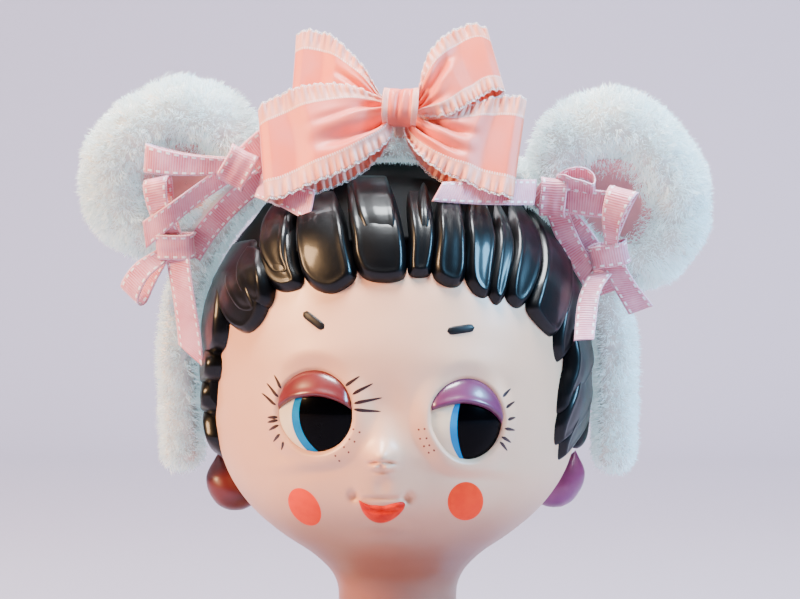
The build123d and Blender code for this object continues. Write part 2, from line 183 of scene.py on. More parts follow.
def piece(name, points, faces, body, slot, materials, replaces=(), slots=None, uv=None):
    """A mesh of points in millimetres, riding on a body."""
    mesh = smooth_mesh(name, points, faces, materials)
    if slots is not None:
        mesh.polygons.foreach_set("material_index", np.asarray(slots, np.int32))
    if uv is not None:
        layer = mesh.uv_layers.new(name="weave")
        corners = mesh_array(mesh.loops, "vertex_index", 1, np.int32).ravel()
        layer.data.foreach_set("uv", np.asarray(uv, np.float32).reshape(-1, 2)[corners].ravel())
    face_outwards(mesh)
    thing = linked(name, mesh)
    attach(thing, body)
    if replaces:
        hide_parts(*replaces)
    return thing


def thicken(thing, thickness):
    solid = thing.modifiers.new("thickness", "SOLIDIFY")
    solid.thickness = thickness * MM
    solid.offset = 0
    solid.use_even_offset = False


# ---------------------------------------------------------------- materials

def srgb(r, g, b):
    """Linear colour from a screen colour of 0 to 255."""
    return tuple(((c / 255 + 0.055) / 1.055) ** 2.4 if c > 10 else c / 3295 for c in (r, g, b)) + (1,)


class Paint:
    """A procedural material, built node by node."""

    def __init__(self, name, roughness, **sockets):
        self.material = bpy.data.materials.new(name)
        self.material.use_nodes = True
        self.nodes = self.material.node_tree.nodes
        self.links = self.material.node_tree.links
        self.shader = self.nodes["Principled BSDF"]
        self.shader.inputs["Roughness"].default_value = roughness
        for key, value in sockets.items():
            self.shader.inputs[key.replace("_", " ")].default_value = value

    def node(self, kind, inputs=None, **settings):
        made = self.nodes.new(kind)
        for key, value in settings.items():
            setattr(made, key, value)
        for key, value in (inputs or {}).items():
            if isinstance(value, bpy.types.NodeSocket):
                self.links.new(value, made.inputs[key])
            else:
                made.inputs[key].default_value = value
        return made

    def place(self):
        """Place in the object's own frame, in metres."""
        return self.node("ShaderNodeTexCoord").outputs["Object"]

    def weave(self):
        """Place on the cloth, from the weave map of its piece."""
        return self.node("ShaderNodeUVMap", uv_map="weave").outputs["UV"]

    def split(self, place):
        parts = self.node("ShaderNodeSeparateXYZ", {"Vector": place}).outputs
        return parts["X"], parts["Y"], parts["Z"]

    def noise(self, scale, detail=3, roughness=0.55, place=None):
        made = self.node("ShaderNodeTexNoise", {"Vector": place or self.place(), "Scale": scale,
                                                "Detail": detail, "Roughness": roughness})
        return made.outputs["Fac"]

    def band(self, value, low, high):
        """0 below low, 1 above high."""
        made = self.node("ShaderNodeMapRange", {"Value": value, "From Min": low, "From Max": high},
                         interpolation_type="SMOOTHSTEP")
        return made.outputs["Result"]

    def maths(self, operation, a, b=0.0, c=0.5):
        return self.node("ShaderNodeMath", {0: a, 1: b, 2: c}, operation=operation).outputs[0]

    def waves(self, along, count):
        """Sine with a count of waves to each unit."""
        return self.maths("SINE", self.maths("MULTIPLY", along, count * 2 * math.pi))

    def mix(self, factor, a, b):
        made = self.node("ShaderNodeMix", data_type="RGBA")
        for socket, value in ((made.inputs[0], factor), (made.inputs[6], a), (made.inputs[7], b)):
            if isinstance(value, bpy.types.NodeSocket):
                self.links.new(value, socket)
            else:
                socket.default_value = value
        return made.outputs[2]

    def tones(self, patches, first, second, low=0.3):
        """Two screen colours in soft patches."""
        return self.mix(self.band(patches, low, 1 - low), srgb(*first), srgb(*second))

    def colour(self, socket):
        self.links.new(socket, self.shader.inputs["Base Color"])

    def rough(self, value, low, high):
        made = self.node("ShaderNodeMapRange", {"Value": value, "To Min": low, "To Max": high})
        self.links.new(made.outputs["Result"], self.shader.inputs["Roughness"])

    def bump(self, height, distance):
        """Height of 0 to 1 stands for the distance, in millimetres."""
        made = self.node("ShaderNodeBump", {"Height": height, "Distance": distance * MM})
        self.links.new(made.outputs["Normal"], self.shader.inputs["Normal"])


def mottled(name, first, second, roughness, scale=60, grain=900, depth=0.02, **sockets):
    """Paint or plastic with a faint change of tone, gloss and surface."""
    paint = Paint(name, roughness, **sockets)
    patches = paint.noise(scale)
    paint.colour(paint.tones(patches, first, second, 0.35))
    paint.rough(patches, roughness * 0.85, roughness * 1.15)
    paint.bump(paint.noise(grain, 2), depth)
    return paint.material


def lacquer(name, first, second, roughness, coat, coat_roughness):
    return mottled(name, first, second, roughness, 70, 500, 0.02, Coat_Weight=coat,
                   Coat_Roughness=coat_roughness)


def plain(name, colour, roughness, **sockets):
    """One tone: for thread, and for the hairs of the pile, whose variety comes from several such tones."""
    paint = Paint(name, roughness, **sockets)
    paint.shader.inputs["Base Color"].default_value = srgb(*colour)
    return paint.material


def grosgrain():
    """Narrow pink ribbon: ribs across it and a paler edge. The weave map of every ribbon is its length in
    centimetres, and -1 to 1 across."""
    paint = Paint("pink_grosgrain", 0.42, Sheen_Weight=0.35, Sheen_Roughness=0.4)
    along, across, _ = paint.split(paint.weave())
    rib = paint.maths("MULTIPLY_ADD", paint.waves(along, 10), 0.5)
    patches = paint.noise(120)
    edge = srgb(242, 190, 206)
    cloth = paint.tones(patches, (214, 100, 118), (242, 158, 172))
    cloth = paint.mix(paint.band(paint.maths("ABSOLUTE", across), 0.9, 0.96), cloth, edge)
    paint.colour(paint.mix(paint.maths("MULTIPLY", rib, 0.5), cloth, edge))
    paint.rough(patches, 0.34, 0.5)
    paint.bump(rib, 0.12)
    return paint.material


def ruffled_satin():
    """Wide peach ribbon: satin in the middle, gathered gauze outside, and a comb of stitches between them."""
    paint = Paint("peach_satin", 0.4, Sheen_Weight=0.35, Sheen_Roughness=0.35)
    along, across, _ = paint.split(paint.weave())
    out = paint.maths("ABSOLUTE", across)
    patches = paint.noise(50)
    satin = paint.tones(patches, (240, 98, 66), (232, 110, 94))
    gauze = paint.tones(patches, (242, 146, 120), (236, 160, 142))
    cloth = paint.mix(paint.band(out, 0.6, 0.64), satin, gauze)
    inside = paint.maths("SUBTRACT", 1.0, paint.band(out, 0.65, 0.66))
    seam = paint.maths("MULTIPLY", paint.band(out, 0.595, 0.605), inside)
    comb = paint.maths("MULTIPLY", seam, paint.band(paint.waves(along, 11), -0.1, 0.3))
    paint.colour(paint.mix(paint.maths("MULTIPLY", comb, 0.7), cloth, srgb(255, 220, 206)))
    paint.rough(patches, 0.34, 0.48)
    paint.bump(paint.maths("ADD", paint.maths("MULTIPLY", paint.waves(along, 24), 0.1), comb), 0.12)
    return paint.material


def metal(name, colour, roughness, scale):
    """Turned metal, with fine lines round it."""
    paint = Paint(name, roughness, Metallic=1.0)
    stretched = paint.node("ShaderNodeMapping", {"Vector": paint.place(), "Scale": (1, 1, 30)})
    lines = paint.noise(scale, 4, place=stretched.outputs["Vector"])
    bright = srgb(*colour)
    dull = tuple(0.8 * c for c in bright[:3]) + (1,)
    paint.colour(paint.mix(paint.band(lines, 0.3, 0.7), bright, dull))
    paint.rough(lines, roughness * 0.8, roughness * 1.3)
    paint.bump(lines, 0.01)
    return paint.material


def backdrop_paper():
    """Paper sweep: its floor is a deeper tone than its wall, so that both look alike under the lamps."""
    paint = Paint("backdrop_paper", 0.95)
    place = paint.place()
    _, back, _ = paint.split(place)
    fibre = paint.noise(60, place=place)
    paint.colour(paint.mix(paint.band(back, 0.7, 2.0), srgb(148, 138, 152), srgb(165, 158, 176)))
    paint.rough(fibre, 0.92, 0.98)
    paint.bump(fibre, 0.05)
    return paint.material


def skin_paint():
    """Sprayed skin: pale over the face, with painted shade of a deeper rose under the jaw and down the neck."""
    paint = Paint("skin_paint", 0.4, Coat_Weight=0.1, Coat_Roughness=0.25)
    patches = paint.noise(25)
    _, _, height = paint.split(paint.place())
    face = paint.tones(patches, (236, 178, 144), (232, 172, 138), 0.35)
    # Painted shade: below 94 mm the colour darkens to a deeper rose by 58 mm, standing in for the shadow under
    # the jaw and on the neck
    paint.colour(paint.mix(paint.band(height, 0.094, 0.058), face, srgb(150, 92, 73)))
    paint.rough(patches, 0.34, 0.46)
    paint.bump(paint.noise(700, 2), 0.015)
    return paint.material


SKIN = skin_paint()
HAIR = mottled("hair_lacquer", (1, 2, 4), (4, 4, 6), 0.36, 45, 350, 0.05, Coat_Weight=0.24,
               Coat_Roughness=0.12, Specular_IOR_Level=0.16)
HAIR_DEEP = mottled("hair_grooves", (1, 2, 3), (3, 3, 5), 0.6, 45, 350, 0.05, Specular_IOR_Level=0.06)
LID = {"left": lacquer("rose_lacquer", (96, 23, 25), (106, 29, 32), 0.3, 0.3, 0.08),
       "right": lacquer("mauve_lacquer", (86, 32, 66), (97, 39, 77), 0.3, 0.3, 0.08)}
BEAD = {"left": lacquer("brick_lacquer", (86, 12, 12), (98, 18, 18), 0.42, 0.25, 0.2),
        "right": lacquer("violet_lacquer", (132, 56, 112), (146, 68, 128), 0.42, 0.25, 0.2)}
ORANGE = mottled("orange_paint", (250, 54, 0), (244, 46, 0), 0.5, 200, 900, 0.01, Specular_IOR_Level=0.2)
LIP = mottled("lip_paint", (200, 14, 0), (230, 36, 0), 0.42, 160, 900, 0.01, Specular_IOR_Level=0.16)
LASH = mottled("lash_paint", (50, 14, 12), (40, 12, 10), 0.4, 300, 900, 0.01)
BROW = mottled("brow_paint", (12, 10, 12), (20, 16, 18), 0.42, 300, 900, 0.01, Specular_IOR_Level=0.25)
FRECKLE = mottled("freckle_paint", (124, 44, 30), (110, 38, 26), 0.4, 300, 900, 0.01)
# The pile glows faintly: this stands in for the light that scatters from hair to hair in real plush
PILE = [plain(f"pile_{i}", tone, 0.7, Sheen_Weight=1.0, Sheen_Roughness=0.6,
              Emission_Color=srgb(196, 234, 246), Emission_Strength=0.3)
        for i, tone in enumerate([(240, 253, 255), (236, 251, 253), (244, 255, 255), (234, 249, 251)])]
BACKING = mottled("pile_backing", (236, 232, 226), (226, 222, 216), 0.9, 150, 1500, 0.2)
LINING = mottled("lining_cloth", (240, 172, 170), (232, 160, 160), 0.75, 120, 1800, 0.12, Sheen_Weight=0.5)
PINK = grosgrain()
THREAD = plain("white_thread", (250, 240, 242), 0.6)
PEACH = ruffled_satin()
PICOT = plain("picot_thread", (254, 240, 234), 0.4)
STALK = mottled("gathered_satin", (236, 160, 138), (228, 150, 130), 0.5, 90, 900, 0.1, Sheen_Weight=0.3)
BACKDROP = backdrop_paper()
# Finishes of the nodes that keep their CAD shape, by the slots of the record
CAD_FINISH = {
    "felt": mottled("black_felt", (52, 52, 56), (66, 64, 68), 0.95, 300, 2500, 0.3, Sheen_Weight=0.6),
    "base_lacquer": mottled("white_lacquer", (232, 226, 226), (226, 220, 222), 0.3, 30, 500, 0.01,
                            Coat_Weight=0.4),
    "ballast_iron": metal("ballast_iron", (90, 88, 86), 0.6, 300),
    "post_steel": metal("turned_steel", (190, 190, 194), 0.3, 400),
    "screw_steel": metal("screw_steel", (170, 172, 170), 0.35, 400),
    "bush_plastic": mottled("bush_nylon", (232, 230, 222), (226, 224, 216), 0.5, 80, 800, 0.02),
    "band_plastic": mottled("band_plastic", (238, 238, 236), (232, 232, 230), 0.45, 80, 800, 0.02),
    "wadding": mottled("wadding_fibre", (244, 244, 244), (236, 236, 236), 0.95, 200, 1200, 0.5),
}


# ---------------------------------------------------------------- the head's form

# Sections as (height, half width, reach to the front, reach to the back), as in the CAD
HEAD = arr(
    (17, 33, 33, 33), (23, 26.5, 26.5, 26.5), (32, 23.4, 23.4, 23.4), (44, 23.6, 24, 24), (52, 26.3, 28, 26.5),
    (60, 33.6, 41, 31), (68, 44.8, 54, 39), (78, 56.5, 65, 49.5), (92, 66.5, 73, 60), (110, 71.5, 77, 68),
    (132, 72.5, 78.5, 72), (152, 71.5, 77, 71), (172, 65.6, 71, 66), (190, 54, 57, 57), (202, 39.5, 37, 44),
    (208.5, 22, 14, 29))
CROWN_START = 150
# The skin and the hair are closed over the crown by a point on this line
CROWN_MIDDLE = 7.5


def monotone(x, y, at):
    """Smooth curve through the points that doesn't swing past them."""
    h = np.diff(x)
    slope = np.diff(y) / h
    m = np.concatenate([slope[:1], (slope[:-1] + slope[1:]) / 2, slope[-1:]])
    limit = 3 * np.minimum(np.abs(np.r_[slope[0], slope]), np.abs(np.r_[slope, slope[-1]]))
    m = np.clip(m, -limit, limit)
    m[1:-1][slope[:-1] * slope[1:] <= 0] = 0
    i = np.clip(np.searchsorted(x, at) - 1, 0, len(h) - 1)
    t = (at - x[i]) / h[i]
    a, b = h[i] * m[i], h[i] * m[i + 1]
    step = y[i + 1] - y[i]
    return y[i] + t * a + t**2 * (3 * step - 2 * a - b) + t**3 * (a + b - 2 * step)


def head_section(z):
    """Half width, half depth and middle of the head at a height."""
    z = np.clip(z, HEAD[0, 0], HEAD[-1, 0])
    side, front, back = (monotone(HEAD[:, 0], HEAD[:, i], z) for i in (1, 2, 3))
    return side, (front + back) / 2, (back - front) / 2


def head_point(angle, z, grow=0.0):
    """Point on the head's form. The angle is 0 at the middle of the face, in radians towards +X."""
    side, depth, middle = head_section(z)
    x = (side + grow) * np.sin(angle)
    y = middle - (depth + grow) * np.cos(angle)
    rise = grow * np.maximum(0, z - CROWN_START) / (HEAD[-1, 0] - CROWN_START)
    return np.stack(np.broadcast_arrays(x, y, z + rise + 0 * angle), -1)


def bump_at(points, centre, reach, turn=0.0):
    """Round hill of height 1 on the face, about a point across and up, its reach given each way."""
    a, b = turned(points[..., 0] - centre[0], points[..., 2] - centre[1], -turn)
    front = smoothstep(0, 20, -points[..., 1])
    return np.exp(-((a / reach[0]) ** 2 + (b / reach[1]) ** 2)) * front


# Hills and hollows of the face: (centre across and up, reach each way, turn, height)
FACE_HILLS = [
    ((-0.1, 102.0), (4.4, 4.8), 0, 5.6),
    ((0.0, 103.5), (10, 10), 0, 2.6),
    ((0.2, 110.0), (4.5, 8.0), 0, 1.4),
    ((-2.3, 98.5), (1.2, 1.0), 0, 2.7),
    ((1.7, 98.3), (1.2, 1.0), 0, 2.7),
    ((-2.7, 100.1), (1.9, 0.6), 10, -3.2),
    ((2.2, 100.1), (1.9, 0.6), -10, -3.2),
    ((-0.3, 98.2), (0.5, 1.4), 0, -1.6),
    ((-0.3, 96.6), (3.2, 0.8), 0, -1.7),
    ((-0.4, 84.0), (15, 10), 0, 4.6),
    ((-0.4, 91.2), (2.4, 3.0), 0, -0.7),
    ((-0.6, 86.6), (6.4, 0.8), 0, -1.2),
    ((-0.6, 74.6), (8, 2.2), 0, -1.6),
    ((-0.6, 68.5), (11, 6.5), 0, 3.2),
    ((-10.9, 87.2), (1.7, 2.0), 20, -2.6),
    ((8.5, 86.4), (1.7, 2.0), -20, -2.6),
    ((-31, 84), (15, 13), 0, 2.2),
    ((30, 85), (15, 13), 0, 2.2),
    ((-26, 100.2), (13, 3.0), 10, 1.3),
    ((30.5, 98.4), (13, 3.0), -10, 1.3),
    ((-26, 95.6), (14, 2.4), 8, -0.5),
    ((30.5, 94.0), (14, 2.4), -8, -0.5),
    ((-25, 138.5), (18, 7), 10, 1.0),
    ((29, 136.5), (17, 7), -10, 1.0),
    ((1.6, 117), (8, 12), 0, -2.0),
]


def sculpted(angle, z):
    """Point on the finished skin."""
    base = head_point(angle, z)
    _, _, middle = head_section(z)
    out = unit(np.stack(np.broadcast_arrays(base[..., 0], base[..., 1] - middle, 0 * base[..., 0]), -1))
    rise = sum(height * bump_at(base, centre, reach, turn) for centre, reach, turn, height in FACE_HILLS)
    return base + out * rise[..., None]


def spaced(stops, counts):
    """Steps between stops, as many as counted in each stretch."""
    return np.concatenate([np.linspace(a, b, n, endpoint=False) for a, b, n in zip(stops, stops[1:], counts)])


# The skin's grid is finest over the face
SKIN_HEIGHTS = np.r_[spaced([17, 60, 152], [40, 200]), np.linspace(152, 208.4, 60)]
SKIN_ANGLES = spaced([-math.pi, -1.75, -1.0, 1.0, 1.75, math.pi], [40, 70, 270, 70, 40])


# Each eye: the middle of its opening, and the way it looks
EYES = {"left": (arr(-26.2, -72.7, 118), arr(-0.37, -0.93, 0)),
        "right": (arr(30.8, -70.7, 115.6), arr(0.43, -0.9, 0))}
EYE_RADIUS = 24
# The ball's centre lies this far behind the opening, and its painted cap has the radius EYE_SEAT
EYE_SET_BACK = 20.2
EYE_SEAT = 16.2


def eye_axes(side):
    """The eyeball's centre, and its directions to the right, up and out, as rows."""
    centre, out = EYES[side]
    out = unit(out)
    return centre - out * EYE_SET_BACK, np.array([[-out[1], out[0], 0], [0, 0, 1], out])


def ball_depth(radius):
    """How far out of its opening an eyeball stands, at a distance from its axis."""
    return np.sqrt(np.maximum(EYE_RADIUS**2 - radius**2, 0)) - EYE_SET_BACK


# Openings of the eyes, across and up from the middle of each
OPENINGS = {
    "left": [(-15.6, -0.6), (-14.6, 6.0), (-10.5, 11.6), (-4.0, 14.9), (3.0, 15.2), (9.2, 12.4), (13.6, 7.6),
             (15.4, 1.2), (14.6, -5.6), (10.2, -11.4), (3.4, -14.4), (-4.0, -14.0), (-10.0, -10.6),
             (-14.2, -5.6)],
    "right": [(-14.2, 0.6), (-12.8, 7.0), (-8.4, 12.0), (-2.0, 14.6), (4.2, 14.0), (9.6, 10.6), (13.2, 5.2),
              (14.7, -1.1), (13.2, -7.2), (9.2, -12.2), (3.4, -14.8), (-3.4, -14.2), (-9.0, -10.6),
              (-13.0, -4.8)],
}


def opening_radius(side, angle):
    """The opening's radius in a direction about its middle, smoothly through its points."""
    ring = smooth_path(OPENINGS[side], 10, closed=True)
    a = np.arctan2(ring[:, 1], ring[:, 0])
    order = np.argsort(a)
    return np.interp(angle, a[order], np.hypot(*ring.T)[order], period=2 * math.pi)


def build_skin():
    """The whole head in skin, pressed in around each eye so that the eyeball sits in a rim."""
    points = sculpted(SKIN_ANGLES[None, :], SKIN_HEIGHTS[:, None])
    for side, (middle, _) in EYES.items():
        _, axes = eye_axes(side)
        x, y, depth = np.moveaxis((points - middle) @ axes.T, -1, 0)
        radius = np.hypot(x, y)
        edge = opening_radius(side, np.arctan2(y, x))
        inside = radius / edge
        # A soft roll of skin stands just proud of the ball at the rim, and dives behind the ball inside it
        blend = smoothstep(1.55, 1.0, inside)
        roll = ball_depth(edge) + 0.55 + smoothstep(1.0, 1.12, inside)
        level = depth * (1 - blend) + roll * blend
        behind = ball_depth(radius) + 0.7 - 3.0 * smoothstep(1.0, 0.9, inside)
        level = np.where(inside < 1, np.minimum(level - 1.2 * smoothstep(1.0, 0.96, inside), behind), level)
        near = (depth > -22) & (depth < 14) & (radius < 26)
        points += np.where(near, level - depth, 0)[..., None] * axes[2]
    rows, cols = points.shape[:2]
    flat = np.vstack([points.reshape(-1, 3), [[0, CROWN_MIDDLE, 209.2]]])
    faces = grid_faces(rows, cols, wrap=True) + ring_to_point((rows - 1) * cols, cols, rows * cols)
    return piece("head_skin", flat, faces, "head", "skin_vinyl", [SKIN], ["head_shell", "neck_shell"])


# ---------------------------------------------------------------- painted face

class Surface:
    """A finished mesh that other things are laid on, hit along a ray. Millimetres in and out."""

    def __init__(self, *things):
        points, faces = [], []
        for thing in things:
            count = len(points)
            points += [v.co / MM for v in thing.data.vertices]
            faces += [[count + i for i in p.vertices] for p in thing.data.polygons]
        self.tree = BVHTree.FromPolygons(points, faces)

    def hit(self, start, along, lift=0.12):
        out = []
        for origin, height in zip(np.atleast_2d(start), np.broadcast_to(lift, len(np.atleast_2d(start)))):
            place, normal, _, _ = self.tree.ray_cast(Vector(origin), Vector(along))
            normal = normal if normal.dot(Vector(along)) < 0 else -normal
            out.append(place + normal * float(height))
        return np.array(out)


def from_front(points):
    """Ray starts in front of the face for places across and up."""
    points = np.atleast_2d(points)
    return np.column_stack([points[:, 0], np.full(len(points), -200.0), points[:, 1]])


def patch(surface, outline, rings, lift):
    """A painted area: the outline shrunk towards its middle ring by ring, laid on the face.
    lift(f) is its height above the surface at a fraction f of the way out."""
    outline = np.asarray(outline, float)
    middle = outline.mean(0)
    levels = np.linspace(0, 1, rings + 1)[1:]
    flat = np.vstack([[middle]] + [middle + (outline - middle) * f for f in levels])
    heights = np.r_[lift(0), np.repeat([lift(f) for f in levels], len(outline))]
    n = len(outline)
    faces = [[0, 1 + i, 1 + (i + 1) % n] for i in range(n)]
    for r in range(rings - 1):
        a, b = 1 + r * n, 1 + (r + 1) * n
        faces += [[a + i, b + i, b + (i + 1) % n, a + (i + 1) % n] for i in range(n)]
    return surface.hit(from_front(flat), (0, 1, 0), heights), faces


def stroke_edges(a, b, width, bend, half):
    """Both edges of a brush stroke from a to b. half(t) is its half width, as a share, along the way."""
    a, b = arr(a), arr(b)
    t = np.linspace(0, 1, 15)
    along = (b - a)[0]
    side = np.array([-along[1], along[0]]) / np.linalg.norm(along)
    path = a + along * t[:, None] + side * (bend * np.sin(math.pi * t))[:, None]
    reach = np.maximum(width / 2 * half(t), 0.02)[:, None]
    return path + side * reach, path - side * reach


def lash_shape(t):
    """Full near its start and pointed at its end."""
    return np.sqrt(np.clip(t / 0.25, 0, 1)) * (1 - t) ** 0.45


def capsule_shape(t):
    return np.sqrt(1 - (2 * t - 1) ** 6)


def lash(surface, start, along, a, b, bend):
    """A brush stroke as a strip of quads on the surface, highest down its middle."""
    left, right = stroke_edges(a, b, LASH_WIDTH, bend, lash_shape)
    rows = np.stack([left, (left + right) / 2, right], 1).reshape(-1, 2)
    lifts = np.tile([0.04, 0.1, 0.04], len(left))
    return surface.hit(start(rows), along, lifts), grid_faces(len(left), 3)


def join(parts):
    """One mesh from several (points, faces)."""
    points, faces, count = [], [], 0
    for some, many in parts:
        points.append(some.reshape(-1, 3))
        faces += [[count + i for i in f] for f in many]
        count += len(points[-1])
    return np.vstack(points), faces


def ellipse(centre, reach, turn, count=48):
    x, y = turned(*(on_circle(around(count)) * reach).T, turn)
    return np.column_stack([centre[0] + x, centre[1] + y])


# Lashes of each eye about its middle: (angle, radius) at the root and at the tip
LASHES = {
    "left": [
        ((148, 16.7), (141, 22.2)), ((160, 16.4), (153, 23.8)), ((171, 16.5), (164, 24.9)),
        ((-173, 15.9), (-174, 20.7)), ((-169, 15.9), (-169, 21.2)), ((-162, 15.9), (-161, 21.7)),
        ((-150, 16.3), (-149, 22.0)), ((-139, 16.7), (-136, 20.6)), ((38, 16.5), (37, 23.2)),
        ((24, 17.5), (26, 25.6)), ((13, 16.9), (13, 26.5)), ((6, 16.5), (2, 25.3)), ((51, 15.6), (41, 15.9)),
    ],
    "right": [
        ((30, 16.6), (31, 21.9)), ((15, 16.3), (17, 21.7)), ((-1, 16.6), (1, 21.1)),
        ((-13, 15.8), (-12, 21.6)), ((-25, 15.7), (-25, 21.5)), ((-32, 16.0), (-34, 21.7)),
    ],
}
LASH_WIDTH = 1.5
BROW_WIDTH = 3.1
FRECKLES = [(-10.8, 112.3), (-8.5, 111.2), (-12.3, 108.6), (-10.4, 107.7), (-14.4, 105.6), (-12.7, 103.7),
            (-17.7, 102.3), (-16.3, 100.4), (13.3, 112.2), (15.5, 112.5), (13.8, 108.8), (16.2, 109.0),
            (15.2, 106.0), (17.2, 106.4), (16.9, 103.6), (18.9, 104.5)]
BROWS = [((-30.3, 155.4), (-22.0, 149.4)), ((23.6, 148.4), (33.6, 149.8))]
CHEEKS = [((-30.7, 82.0), (7.9, 6.0), -62), ((30.0, 84.7), (6.5, 7.6), -4)]
LIPS = [(-9.2, 85.7), (-7.0, 84.6), (-4.8, 84.0), (-2.2, 83.9), (0.1, 83.7), (2.6, 84.4), (5.0, 85.0),
        (6.8, 85.2), (7.9, 84.4), (7.5, 82.6), (6.0, 80.6), (4.2, 79.0), (2.0, 77.7), (-0.6, 76.9),
        (-3.0, 77.0), (-5.0, 77.8), (-6.8, 79.4), (-8.2, 81.8), (-8.9, 84.0)]


def painted(name, parts, material):
    piece(f"painted_{name}", *join(parts), "head", "skin_vinyl", [material])


def build_lashes(face):
    lashes = []
    for side, strokes in LASHES.items():
        middle, _ = EYES[side]
        _, axes = eye_axes(side)

        def start(flat, middle=middle, axes=axes):
            return middle + flat @ axes[:2] + axes[2] * 30

        for ends in strokes:
            a, b = (turned(radius, 0, angle) for angle, radius in ends)
            bend = 0.035 * (ends[1][0] - ends[0][0])
            lashes.append(lash(face, start, -axes[2], a, b, bend))
    painted("lashes", lashes, LASH)


def build_lips(face):
    """Full lips, with the line of the mouth pressed in across them."""
    outline = smooth_path(LIPS, 6, closed=True)
    lips, faces = patch(face, outline, 16, lambda f: 0.03 + 2.0 * (1 - f**2.2) ** 0.7)
    x, z = lips[:, 0] + 0.5, lips[:, 2] - 81.6
    lips[:, 1] += 1.3 * np.exp(-((z - 0.02 * x**2) / 0.8) ** 2) * np.exp(-((x / 6.5) ** 4))
    painted("lips", [(lips, faces)], LIP)


def build_painted_face(skin):
    face = Surface(skin)
    build_lashes(face)
    painted("freckles", [patch(face, ellipse(spot, (0.42, 0.38), 20 * i, 12), 2, lambda f: 0.1 * (1.2 - f))
                         for i, spot in enumerate(FRECKLES)], FRECKLE)
    edges = [stroke_edges(a, b, BROW_WIDTH, 0, capsule_shape) for a, b in BROWS]
    outlines = [np.vstack([left, right[::-1]]) for left, right in edges]
    painted("brows", [patch(face, one, 6, lambda f: 0.05 + 0.6 * math.sqrt(1 - f**2)) for one in outlines],
            BROW)
    discs = [ellipse(*cheek) for cheek in CHEEKS]
    painted("cheeks", [patch(face, one, 8, lambda f: 0.1 * (1 - f**8) + 0.03) for one in discs], ORANGE)
    build_lips(face)


# ---------------------------------------------------------------- eyes, lids and earrings

# Painted iris and pupil, as circles about a point of the eye, cut off by its opening
IRIS = {"left": ((10.9, -1.6), 18.8), "right": ((8.7, -2.1), 16.6)}
PUPIL = {"left": ((15.6, -0.4), 19.8), "right": ((16.8, -1.5), 22.0)}


def eye_paint(side):
    """White, blue and near-black, painted as circles on the ball. Its weave map is across and up in
    centimetres."""
    paint = Paint(f"eye_paint_{side}", 0.3, Coat_Weight=0.08, Coat_Roughness=0.02, Specular_IOR_Level=0.02)
    across, up, _ = paint.split(paint.weave())

    def inside(circle):
        (x, y), radius = circle
        dx, dy = paint.maths("SUBTRACT", across, x / 10), paint.maths("SUBTRACT", up, y / 10)
        far = paint.maths("SQRT", paint.maths("MULTIPLY_ADD", dx, dx, paint.maths("MULTIPLY", dy, dy)))
        return paint.band(far, (radius + 0.12) / 10, (radius - 0.12) / 10)

    patches = paint.noise(180)
    white = paint.tones(patches, (238, 220, 190), (232, 214, 184))
    blue = paint.tones(patches, (0, 120, 180), (8, 130, 186))
    colour = paint.mix(inside(IRIS[side]), white, blue)
    paint.colour(paint.mix(inside(PUPIL[side]), colour, srgb(1, 1, 2)))
    paint.rough(patches, 0.22, 0.3)
    paint.bump(paint.noise(500, 2), 0.01)
    return paint.material


def build_eyeball(side):
    centre, axes = eye_axes(side)
    rings, steps = 56, 120
    radius = np.linspace(0.02, EYE_SEAT, rings)[:, None]
    flat = radius[..., None] * on_circle(around(steps))
    local = with_height(flat, np.sqrt(EYE_RADIUS**2 - radius**2)).reshape(-1, 3)
    faces = grid_faces(rings, steps, wrap=True) + [list(range(steps))[::-1]]
    piece(f"eyeball_{side}_painted", centre + local @ axes, faces, "head", "eye_paint", [eye_paint(side)],
          [f"eyeball_{side}"], uv=local[:, :2] / 10)


# Lids: lower edge and upper edge, across and up from the middle of the eye
LIDS = {
    "left": ([(-15.9, 0.2), (-14.6, 1.4), (-9.9, 3.9), (-5.7, 5.4), (2.7, 6.3), (8.6, 5.2), (12.6, 3.4),
              (15.6, 1.0)],
             [(-15.9, 0.2), (-15.4, 6.0), (-12.6, 11.2), (-6.6, 15.2), (0.4, 16.4), (7.6, 14.6), (13.0, 10.0),
              (15.6, 1.0)]),
    "right": ([(-15.0, 2.4), (-12.8, 4.0), (-6.0, 5.8), (-1.6, 6.1), (5.2, 4.6), (10.1, 2.1), (13.4, -0.8),
               (15.2, -3.0)],
              [(-15.0, 2.4), (-13.4, 8.4), (-8.6, 13.4), (-1.2, 16.0), (5.8, 14.8), (11.2, 10.6), (14.6, 4.8),
               (15.2, -3.0)]),
}
LID_THICK = 1.9


def build_eyelid(side):
    """Thick glossy lid with a rounded lower lip, over the top of the ball."""
    centre, axes = eye_axes(side)
    cols, rows = 72, 40
    s, t = ((1 - np.cos(np.linspace(0, math.pi, count))) / 2 for count in (cols, rows))
    lower, upper = (even_steps(smooth_path(line, 16), s) for line in LIDS[side])
    flat = lower + (upper - lower) * t[:, None, None]
    span = np.linalg.norm(upper - lower, axis=1)
    from_low = np.linalg.norm(flat - lower, axis=-1)
    from_high = np.maximum(span - from_low, 0)
    lip = rounding(from_low, 1.5)
    lift = LID_THICK * lip * rounding(from_high, 2.6) + 0.45 * np.exp(-((from_low - 1.5) / 1.3) ** 2) * lip
    ball = np.sqrt(EYE_RADIUS**2 - np.linalg.norm(flat, axis=-1) ** 2)
    local = with_height(flat, ball + lift * smoothstep(0, 3, span) - 0.05)
    piece(f"eyelid_{side}_lacquered", centre + local @ axes, grid_faces(rows, cols), "head", "mauve_paint",
          [LID[side]], [f"eyelid_{side}"])


# Each earring: where its bead hangs, and how far its top leans inwards
EARRINGS = {"left": ((-69.6, 15, 85.4), -7.0), "right": ((65.0, 25, 86.6), 8.6)}
